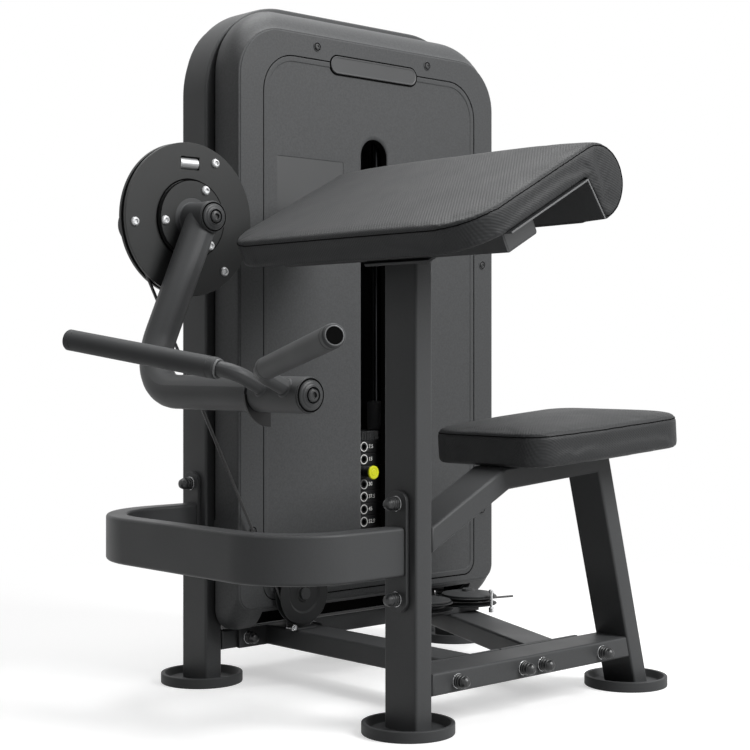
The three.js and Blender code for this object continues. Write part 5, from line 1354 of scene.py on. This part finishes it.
class CURL_OT_sheaves(bpy.types.Operator):
    """Grooved wheels with their brackets and keeper bolts"""
    bl_idname = "curl.sheaves"
    bl_label = "Sheaves"

    def execute(self, context):
        large, small = (WHEEL_PITCH, WHEEL_RADIUS), (SMALL_PITCH, SMALL_RADIUS)
        wheels = (("lower_sheave", large, shift(*LOWER_WHEEL)),
                  ("turn_sheave_left", large, shift(*TURN_WHEELS[0]) @ UPRIGHT),
                  ("turn_sheave_right", large, shift(*TURN_WHEELS[1]) @ UPRIGHT),
                  ("tower_sheave", small, shift(*TOWER_WHEEL) @ Matrix.Rotation(QUARTER, 4, "Z")),
                  ("top_sheave_left", small, CROWN_AT @ shift(CROWN_SPOTS[0])),
                  ("top_sheave_right", small, CROWN_AT @ shift(CROWN_SPOTS[1])))
        for name, sizes, at in wheels:
            add_piece(f"{name}_wheel", wheel(*sizes, at), "nylon", name, [name])
        self.lower_bracket()
        self.turn_bracket()
        return {"FINISHED"}

    def lower_bracket(self):
        at = Matrix.Translation(LOWER_WHEEL)
        low = BASE_TOP + GAP - LOWER_WHEEL.z
        cheek = block((-31, 9.3, low), (31, 13.3, 16), 1.0)
        base = block((-31, -9, low), (31, 12, low + 4), 1.0)
        shell = united(cheek, base, turned(LOWER_AXLE, 0.6, 40))
        add_piece("lower_wheel_bracket", shell, nodes=["lower_sheave_bracket"], at=at)
        keeper = turned(LOWER_KEEPER, 0.5, 32)
        add_piece("lower_keeper_bolt", keeper, "zinc", at=at @ shift(-29, 0, -66))

    def turn_bracket(self):
        low, top = BASE_TOP + GAP, RUN_Z - 9 - GAP
        hood_low = RUN_Z + 9 + GAP
        left, right = TURN_WHEELS
        half = WHEEL_PITCH / 2
        shells = [block((left.x, left.y - half, low), (right.x + 8, left.y + half, top), 1.5)]
        for spot in TURN_WHEELS:
            axle = spun([(0, top - 2), (8, top - 2), (8, hood_low + 2), (0, hood_low + 2)], 0.4, 32)
            hood = spun([(radius, hood_low + lift) for radius, lift in HOOD], 1.2, 72)
            shells += [moved(shell, shift(spot.x, spot.y)) for shell in (axle, hood)]
        add_piece("turn_wheel_bracket", united(*shells), nodes=["turn_sheave_bracket"])
        keeper = spun(TURN_KEEPER, 0.5, 32)
        add_piece("turn_keeper_bolt", keeper, "zinc", at=shift(right.x + 2, right.y - 67))
        end = [(right.x + 50, right.y - 22, RUN_Z), (right.x + 104, right.y - 36, RUN_Z)]
        add_piece("cable_end", pipe(end, 2.3), "cable")


class CURL_OT_cables(bpy.types.Operator):
    """The three lengths of the pull cable"""
    bl_idname = "curl.cables"
    bl_label = "Cables"

    def execute(self, context):
        reach = Vector((LOWER_WHEEL.x - CAM.x, LOWER_WHEEL.z - CAM.z))
        tangent = math.atan2(reach.y, reach.x) - math.acos((CAM_PITCH - WHEEL_PITCH) / reach.length)
        way = Vector((math.cos(tangent), math.sin(tangent)))
        leaves = Vector((CAM.x, CAM.z)) + way * CAM_PITCH
        meets = Vector((LOWER_WHEEL.x, LOWER_WHEEL.z)) + way * WHEEL_PITCH
        pull = (meets - leaves).normalized()
        off_cam = tangent + TURN if tangent < 0 else tangent
        x_axis, y_axis, z_axis = Vector((1, 0, 0)), Vector((0, 1, 0)), Vector((0, 0, 1))

        def arc(centre, first, second, radius, start, end):
            count = max(2, math.ceil(abs(end - start) / (QUARTER / 12)))
            return [centre + first * (radius * math.cos(start + (end - start) * k / count))
                    + second * (radius * math.sin(start + (end - start) * k / count))
                    for k in range(count + 1)]

        anchor = Vector((CAM.x - 20.3, GROOVE_Y, CAM.z + ANCHOR_LIFT))
        enter = HALF - math.asin(ANCHOR_LIFT / CAM_PITCH)
        tail = leaves + pull * CABLE_RADIUS
        on_cam = [anchor, *arc(Vector((CAM.x, GROOVE_Y, CAM.z)), x_axis, z_axis, CAM_PITCH, enter, off_cam),
                  Vector((tail.x, GROOVE_Y, tail.y))]
        cross = math.acos(2 * WHEEL_PITCH / (TURN_WHEELS[1].x - TURN_WHEELS[0].x))
        start = leaves + pull * (CABLE_RADIUS + GAP)
        crown_x = Vector((math.cos(CROWN_TURN), math.sin(CROWN_TURN), 0))
        crown = [Vector((SLOT_X, STACK_Y, CROWN_Z)) + crown_x * spot for spot in CROWN_SPOTS]
        along = [Vector((start.x, GROOVE_Y, start.y)),
                 *arc(LOWER_WHEEL, x_axis, z_axis, WHEEL_PITCH, off_cam, 3 * QUARTER),
                 *arc(TURN_WHEELS[0], x_axis, y_axis, WHEEL_PITCH, QUARTER, cross),
                 *arc(TURN_WHEELS[1], x_axis, y_axis, WHEEL_PITCH, cross - HALF, 0),
                 *arc(TOWER_WHEEL, y_axis, z_axis, SMALL_PITCH, -QUARTER, 0),
                 *arc(crown[1], crown_x, z_axis, SMALL_PITCH, 0, QUARTER),
                 *arc(crown[0], crown_x, z_axis, SMALL_PITCH, QUARTER, HALF),
                 Vector((SLOT_X, STACK_Y, CROWN_Z - CABLE_RADIUS))]
        drop = [Vector((SLOT_X, STACK_Y, SELECTOR_TOP + GAP)),
                Vector((SLOT_X, STACK_Y, CROWN_Z - CABLE_RADIUS - GAP))]
        for name, path, body, node in (("cable_on_cam", on_cam, "curl_arm", "cam_cable"),
                                       ("cable_run", along, "frame", "pull_cable"),
                                       ("cable_to_stack", drop, "frame", "stack_cable")):
            add_piece(name, pipe(path, CABLE_RADIUS), "cable", body, [node], sharp=60)
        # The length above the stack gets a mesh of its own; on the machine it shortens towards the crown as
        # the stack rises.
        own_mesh(bpy.data.objects["cable_to_stack"])
        return {"FINISHED"}


def foam_shrink():
    """How much smaller a cushion starts, in mm, because the pressure swells it"""
    return settings().swell * 0.8


def cushion(name, shell, finish, matrix, held, seam_path, nodes):
    """Firm upholstered form: the skin is swelled over its foam, then the seam is drawn in"""
    own = settings()
    piece = bare_object(name, shell, PLAN @ matrix)
    grid = piece.modifiers.new("grid", "REMESH")
    grid.mode = "VOXEL"
    grid.voxel_size = SKIN_CELL
    bake(piece)
    to_local = (PLAN @ matrix).inverted()
    group = piece.vertex_groups.new(name="held")
    for vertex in piece.data.vertices:
        if held(to_local @ vertex.co):
            group.add([vertex.index], 1.0, "REPLACE")
    start = [vertex.co.copy() for vertex in piece.data.vertices]
    cloth = piece.modifiers.new("cloth", "CLOTH")
    for key, value in SKIN.items():
        setattr(cloth.settings, key, value)
    cloth.settings.effector_weights.gravity = 0
    cloth.collision_settings.use_self_collision = False
    cloth.point_cache.frame_start, cloth.point_cache.frame_end = 1, SWELL_FRAMES
    scene = bpy.context.scene
    for number in range(1, SWELL_FRAMES + 1):
        scene.frame_set(number)
    depsgraph = bpy.context.evaluated_depsgraph_get()
    ends = [vertex.co.copy() for vertex in piece.evaluated_get(depsgraph).data.vertices]
    piece.modifiers.clear()
    scene.frame_set(1)
    cap = own.swell / 1000
    for vertex, before, after in zip(piece.data.vertices, start, ends):
        swelled = after - before
        vertex.co = before + swelled * min(1.0, cap / swelled.length) if swelled.length else before
    piece.modifiers.clear()
    fine = piece.modifiers.new("fine", "SUBSURF")
    fine.levels = fine.render_levels = 1
    bake(piece)
    draw_seam(name, piece, [PLAN @ matrix @ Vector(point) for point in seam_path], own.seam / 1000)
    piece.data.shade_smooth()
    finish_piece(piece, finish, "frame", nodes)


def draw_seam(name, piece, path, thick):
    """Press the seam's line into the cushion and lay the near-black welt in it, painted shade in the seam"""
    mesh = piece.data
    tree = BVHTree.FromPolygons([v.co for v in mesh.vertices], [tuple(f.vertices) for f in mesh.polygons])
    spots = [tree.find_nearest(point) for point in path]
    line = KDTree(len(spots))
    for i, (spot, normal, face, far) in enumerate(spots):
        line.insert(spot, i)
    line.balance()
    normals = [vertex.normal.copy() for vertex in mesh.vertices]
    for vertex, normal in zip(mesh.vertices, normals):
        spot, i, far = line.find(vertex.co)
        if far < SEAM_REACH:
            vertex.co -= normal * (SEAM_DEPTH * math.exp(-(far / SEAM_WIDTH) ** 2))
    welt = [spot - normal * WELT_DEPTH for spot, normal, face, far in spots]
    shell = pipe(welt, thick / 2)
    seam = bare_object(f"{name}_seam", shell, Matrix())
    seam.data.shade_smooth()
    finish_piece(seam, "seam", "frame")


def evenly(path, step=SEAM_STEP):
    """Points at even steps along a polyline"""
    path = [Vector(point) for point in path]
    points = [path[0]]
    for start, end in zip(path, path[1:]):
        count = max(1, round((end - start).length / step))
        points.extend([start.lerp(end, k / count) for k in range(1, count + 1)])
    return points


class CURL_OT_arm_pad(bpy.types.Operator):
    """Sloping arm pad with its rolled end, folded sheet and carrying tube"""
    bl_idname = "curl.arm_pad"
    bl_label = "Arm pad"

    def execute(self, context):
        shrink = foam_shrink()
        half = PAD_WIDE / 2
        straight = half - PAD_CORNER
        side = []
        for k in range(7):
            angle = QUARTER * k / 7
            side.append((half - PAD_EDGE * (1 - math.cos(angle)), PAD_EDGE * (1 - math.sin(angle))))
        for k in range(13):
            side.append((straight + (PAD_CORNER - PAD_EDGE) * math.cos(QUARTER * k / 12), 0))
        side += [(straight * k / 6, 0) for k in range(5, 0, -1)]
        stations = [(-y, inset) for y, inset in side] + [(0, 0)] + side[::-1]
        rings = [[Vector((u, y * (1 - shrink / half), w)) for u, w in self.profile(y, inset + shrink)]
                 for y, inset in stations]

        def held(p):
            return (p.z < 6 and p.x < PAD_NOTCH + 1) or (p.x < PAD_NOTCH + 12 and p.z < 1)

        seam = evenly(self.seam_line(PAD_SEAM_DROP))
        cushion("arm_pad_cushion", loft(rings), "pad", PAD_AT, held, seam, ["arm_pad"])
        self.metal()
        return {"FINISHED"}

    def profile(self, y, shrink):
        """Section of the pad at a station, from the low end's underside round the roll and back on top"""
        half = PAD_WIDE / 2
        over = max(abs(y) - (half - PAD_CORNER), 0)
        recede = PAD_CORNER - math.sqrt(max(PAD_CORNER ** 2 - over ** 2, 0))
        crown = PAD_CROWN * (1 - (y / half) ** 4)
        thick = PAD_THICK + crown - shrink
        roll = PAD_ROLL + crown - shrink
        roll_w = PAD_THICK - PAD_ROLL
        low = PAD_LOW + recede + shrink
        points = [(low + (PAD_NOTCH - shrink / 2 - low) * k / 12 + (PAD_EDGE / 2 if k == 0 else 0), shrink)
                  for k in range(13)]
        for k in range(33):
            angle = PAD_TIP + (QUARTER - PAD_TIP) * k / 32
            points.append((PAD_ROLL_U + roll * math.cos(angle) + (shrink if k == 0 else 0),
                           roll_w + roll * math.sin(angle)))
        for k in range(1, 14):
            points.append((PAD_ROLL_U + (low + 2 * PAD_EDGE - PAD_ROLL_U) * k / 14, thick))
        for k in range(7):
            angle = QUARTER + QUARTER * k / 6
            points.append((low + PAD_EDGE + PAD_EDGE * math.cos(angle),
                           thick - PAD_EDGE + PAD_EDGE * math.sin(angle)))
        points.append((low, shrink + PAD_EDGE / 2))
        return points

    def seam_line(self, drop):
        """Where the top panel is sewn to the sides, a little below the top edge and all round but the tip"""
        half = PAD_WIDE / 2
        straight = half - PAD_CORNER
        height = PAD_THICK - drop
        one_side = []
        for k in range(41):
            angle = PAD_TIP + (QUARTER - PAD_TIP) * k / 40
            reach = PAD_ROLL - drop
            one_side.append((PAD_ROLL_U + reach * math.cos(angle), half,
                             PAD_THICK - PAD_ROLL + reach * math.sin(angle)))
        one_side.append((PAD_LOW + PAD_CORNER, half, height))
        for k in range(1, 13):
            angle = QUARTER * k / 12
            one_side.append((PAD_LOW + PAD_CORNER * (1 - math.sin(angle)),
                             straight + PAD_CORNER * math.cos(angle), height))
        return one_side + [(u, -y, w) for u, y, w in reversed(one_side)]

    def metal(self):
        level = -GAP - PAD_SHEET / 2
        fold = PAD_NOTCH - GAP - PAD_SHEET
        lean = Vector((PAD_ROLL_U + PAD_ROLL * math.cos(PAD_TIP) - PAD_NOTCH,
                       PAD_THICK - PAD_ROLL + PAD_ROLL * math.sin(PAD_TIP))).normalized()
        tip = Vector((fold, level)) + lean * SHEET_TIP
        half = PAD_WIDE / 2 - 1.2
        line = bar_outline([(SHEET_START, level), (fold, level), tuple(tip)], PAD_SHEET)
        sheet = slab(line, -half, half, 0.5, steps=2)
        add_piece("pad_sheet", sheet, nodes=["pad_plate"], at=PAD_AT @ UPRIGHT)
        trims = [slab(line, end - 0.6, end + 0.6, 0.2, steps=2) for end in (-half, half)]
        add_piece("pad_sheet_edges", united(*trims), "edge", at=PAD_AT @ UPRIGHT)
        # Near-black discs stand for the sheet's holes: painted shade in place of open holes
        spot = Vector((fold, level)) + lean * HOLE_DROP + Vector((-lean.y, lean.x)) * (PAD_SHEET / 2)
        facing = Vector((lean.y, 0, -lean.x))
        holes = [moved(lathe(SHEET_HOLE, 28), shift(spot.x, way * HOLE_Y, spot.y) @ aimed(-facing))
                 for way in (-1, 1)]
        add_piece("pad_sheet_holes", united(*holes), "black_and_painted_shade", at=PAD_AT)
        top = -PAD_SHEET - 2 * GAP
        near, far = PAD_BAR_SPAN
        outline = rounded_rect((near, top - TUBE_THIN), (far, top), TUBE_EDGE, 5)
        bar = slab(outline, -PAD_BAR_HALF, PAD_BAR_HALF, 0.6)
        outline = rounded_rect((near + 4, top - TUBE_THIN + 4), (far - 4, top - 4), 3, 4)
        plug = slab(outline, -PAD_BAR_HALF - 0.5, PAD_BAR_HALF + 0.5, 0.5)
        add_piece("pad_bar", bar, nodes=["pad_bracket"], at=PAD_AT @ UPRIGHT)
        add_piece("pad_bar_plugs", plug, "inlay", at=PAD_AT @ UPRIGHT)


def seat_ring(inset=0.0):
    """Plan of the seat: rounded corners, and a long bend in each side"""
    corners = [(along, -wide / 2, radius) for along, wide, radius in SEAT_PLAN]
    corners += [(along, wide / 2, radius) for along, wide, radius in reversed(SEAT_PLAN)]
    spots = [Vector((SEAT_NEAR + x, y)) for x, y, radius in corners]
    points = []
    for i, (x, y, radius) in enumerate(corners):
        before = (spots[i] - spots[i - 1]).normalized()
        after = (spots[(i + 1) % len(spots)] - spots[i]).normalized()
        turn = before.angle(after)
        inward = Vector((-before.y, before.x))
        centre = spots[i] - before * (radius * math.tan(turn / 2)) + inward * radius
        points += [tuple(centre - (Matrix.Rotation(turn * k / 14, 2) @ inward) * (radius - inset))
                   for k in range(15)]
    return points


class CURL_OT_seat(bpy.types.Operator):
    """Seat cushion with the board under it"""
    bl_idname = "curl.seat"
    bl_label = "Seat"

    def execute(self, context):
        board_low = SEAT_LOW - GAP
        board = slab(lambda inset: seat_ring(22 + inset), board_low, board_low + 9, 1.2)
        add_piece("seat_base_board", board, "rubber", nodes=["seat_board"], at=SEAT_AT)
        shrink = foam_shrink()
        shoulder = SEAT_LOW + SEAT_THICK - SEAT_EDGE - shrink
        levels = [(SEAT_EDGE / 2, SEAT_LOW), (SEAT_EDGE / 5, SEAT_LOW + SEAT_EDGE / 5),
                  (0, SEAT_LOW + SEAT_EDGE / 2)]
        levels += [(SEAT_EDGE * (1 - math.cos(QUARTER * k / 6)),
                    shoulder + SEAT_EDGE * math.sin(QUARTER * k / 6))
                   for k in range(6)]
        rings = [[(x, y, height) for x, y in seat_ring(shrink + inset)] for inset, height in levels]
        rim = seat_ring(shrink + SEAT_EDGE)
        middle = (min(x for x, y in rim) + max(x for x, y in rim)) / 2
        for k in range(12):
            share = k / 12
            height = shoulder + SEAT_EDGE + SEAT_CROWN * (1 - (1 - share) ** 2)
            rings.append([(x + (middle - x) * share, y * (1 - share), height) for x, y in rim])

        def held(p):
            return p.z < SEAT_LOW + 3

        line = [(x, y, SEAT_LOW + SEAT_THICK - SEAT_SEAM_DROP) for x, y in seat_ring()]
        seam = evenly(line + line[:1])
        cushion("seat_cushion_form", loft(rings), "seat", SEAT_AT, held, seam, ["seat_cushion"])
        return {"FINISHED"}


class CURL_OT_stage(bpy.types.Operator):
    """Pale floor, soft light and the camera"""
    bl_idname = "curl.stage"
    bl_label = "Studio"

    def execute(self, context):
        scene = context.scene
        floor = bare_object("floor", (FLOOR_CORNERS, [(0, 1, 2, 3)]))
        floor.data.materials.append(self.floor_material())
        self.world(scene)
        for name, place, size, share in LAMPS:
            lamp = bpy.data.lights.new(name, "AREA")
            lamp.size = size
            lamp.energy = settings().key_power * share
            holder = bpy.data.objects.new(name, lamp)
            spot = PLAN @ Vector(place)
            holder.location = spot
            holder.rotation_euler = (PLAN @ Vector(LAMP_AIM) - spot).to_track_quat("-Z", "Y").to_euler()
            scene.collection.objects.link(holder)
        view = bpy.data.cameras.new("photo")
        view.sensor_width = SENSOR_WIDTH
        view.lens = CAMERA_LENS
        view.shift_y = CAMERA_SHIFT
        camera = bpy.data.objects.new("photo", view)
        camera.location = PLAN @ Vector(CAMERA_PLACE)
        camera.rotation_euler = (QUARTER, 0, CAMERA_TURN)
        scene.collection.objects.link(camera)
        scene.camera = camera
        scene.view_settings.view_transform = "Standard"
        return {"FINISHED"}

    def floor_material(self):
        """White floor that keeps the shadow near the machine, and turns to plain white further out"""
        material = bpy.data.materials.new("studio_floor")
        material.use_nodes = True
        tree = material.node_tree
        tree.nodes.clear()
        seen = self.seen(tree)
        level = add_node(tree, "ShaderNodeMath", {0: seen, 1: 0.52}, operation="MULTIPLY")
        pale = add_node(tree, "ShaderNodeMapRange", {"Value": seen, "To Min": 0.2, "To Max": 0.72})
        matt = add_node(tree, "ShaderNodeBsdfDiffuse", {"Color": pale.outputs[0]})
        glow = add_node(tree, "ShaderNodeEmission", {"Color": (1, 1, 1, 1), "Strength": level.outputs[0]})
        near = add_node(tree, "ShaderNodeAddShader", {0: matt.outputs[0], 1: glow.outputs[0]})
        far = add_node(tree, "ShaderNodeEmission", {"Color": (1, 1, 1, 1), "Strength": seen})
        place = add_node(tree, "ShaderNodeTexCoord").outputs["Object"]
        reach = add_node(tree, "ShaderNodeVectorMath", {0: place}, operation="LENGTH")
        share = add_node(tree, "ShaderNodeMapRange", {"Value": reach.outputs["Value"], "From Min": 1.1,
                                                      "From Max": 2.2})
        both = add_node(tree, "ShaderNodeMixShader",
                        {0: share.outputs[0], 1: near.outputs[0], 2: far.outputs[0]})
        add_node(tree, "ShaderNodeOutputMaterial", {"Surface": both.outputs[0]})
        return material

    def seen(self, tree):
        """1 for a ray from the camera, a gloss or through glass, and 0 for a ray that lights the object"""
        rays = add_node(tree, "ShaderNodeLightPath").outputs
        first = add_node(tree, "ShaderNodeMath", {0: rays["Is Camera Ray"], 1: rays["Is Glossy Ray"]},
                         operation="MAXIMUM")
        return add_node(tree, "ShaderNodeMath", {0: first.outputs[0], 1: rays["Is Transmission Ray"]},
                        operation="MAXIMUM").outputs[0]

    def world(self, scene):
        world = bpy.data.worlds.new("studio")
        scene.world = world
        world.use_nodes = True
        tree = world.node_tree
        tree.nodes.clear()
        level = add_node(tree, "ShaderNodeMapRange",
                         {"Value": self.seen(tree), "To Min": 0.025, "To Max": 1.0})
        light = add_node(tree, "ShaderNodeBackground", {"Color": (1, 1, 1, 1), "Strength": level.outputs[0]})
        add_node(tree, "ShaderNodeOutputWorld", {"Surface": light.outputs[0]})


OPERATORS = (CURL_OT_feet, CURL_OT_bent_frames, CURL_OT_welded_bars, CURL_OT_bolts, CURL_OT_covers,
             CURL_OT_stack, CURL_OT_cam, CURL_OT_arm, CURL_OT_handle, CURL_OT_sheaves, CURL_OT_cables,
             CURL_OT_arm_pad, CURL_OT_seat, CURL_OT_stage)


class CURL_PT_panel(bpy.types.Panel):
    """Sizes and steps of the curl machine"""
    bl_idname = "CURL_PT_panel"
    bl_label = "Curl Machine"
    bl_space_type = "VIEW_3D"
    bl_region_type = "UI"
    bl_category = "Curl Machine"

    def draw(self, context):
        own = context.scene.curl_machine
        for name in own.__annotations__:
            self.layout.prop(own, name)
        for operator in OPERATORS:
            self.layout.operator(operator.bl_idname)


CLASSES = (CurlMachineSettings, *OPERATORS, CURL_PT_panel)


def register():
    for each in CLASSES:
        bpy.utils.register_class(each)
    bpy.types.Scene.curl_machine = PointerProperty(type=CurlMachineSettings)


def unregister():
    del bpy.types.Scene.curl_machine
    for each in reversed(CLASSES):
        bpy.utils.unregister_class(each)


def main():
    register()
    make_materials()
    for operator in OPERATORS:
        getattr(bpy.ops.curl, operator.bl_idname.split(".")[1])()


if __name__ == "__main__":
    main()
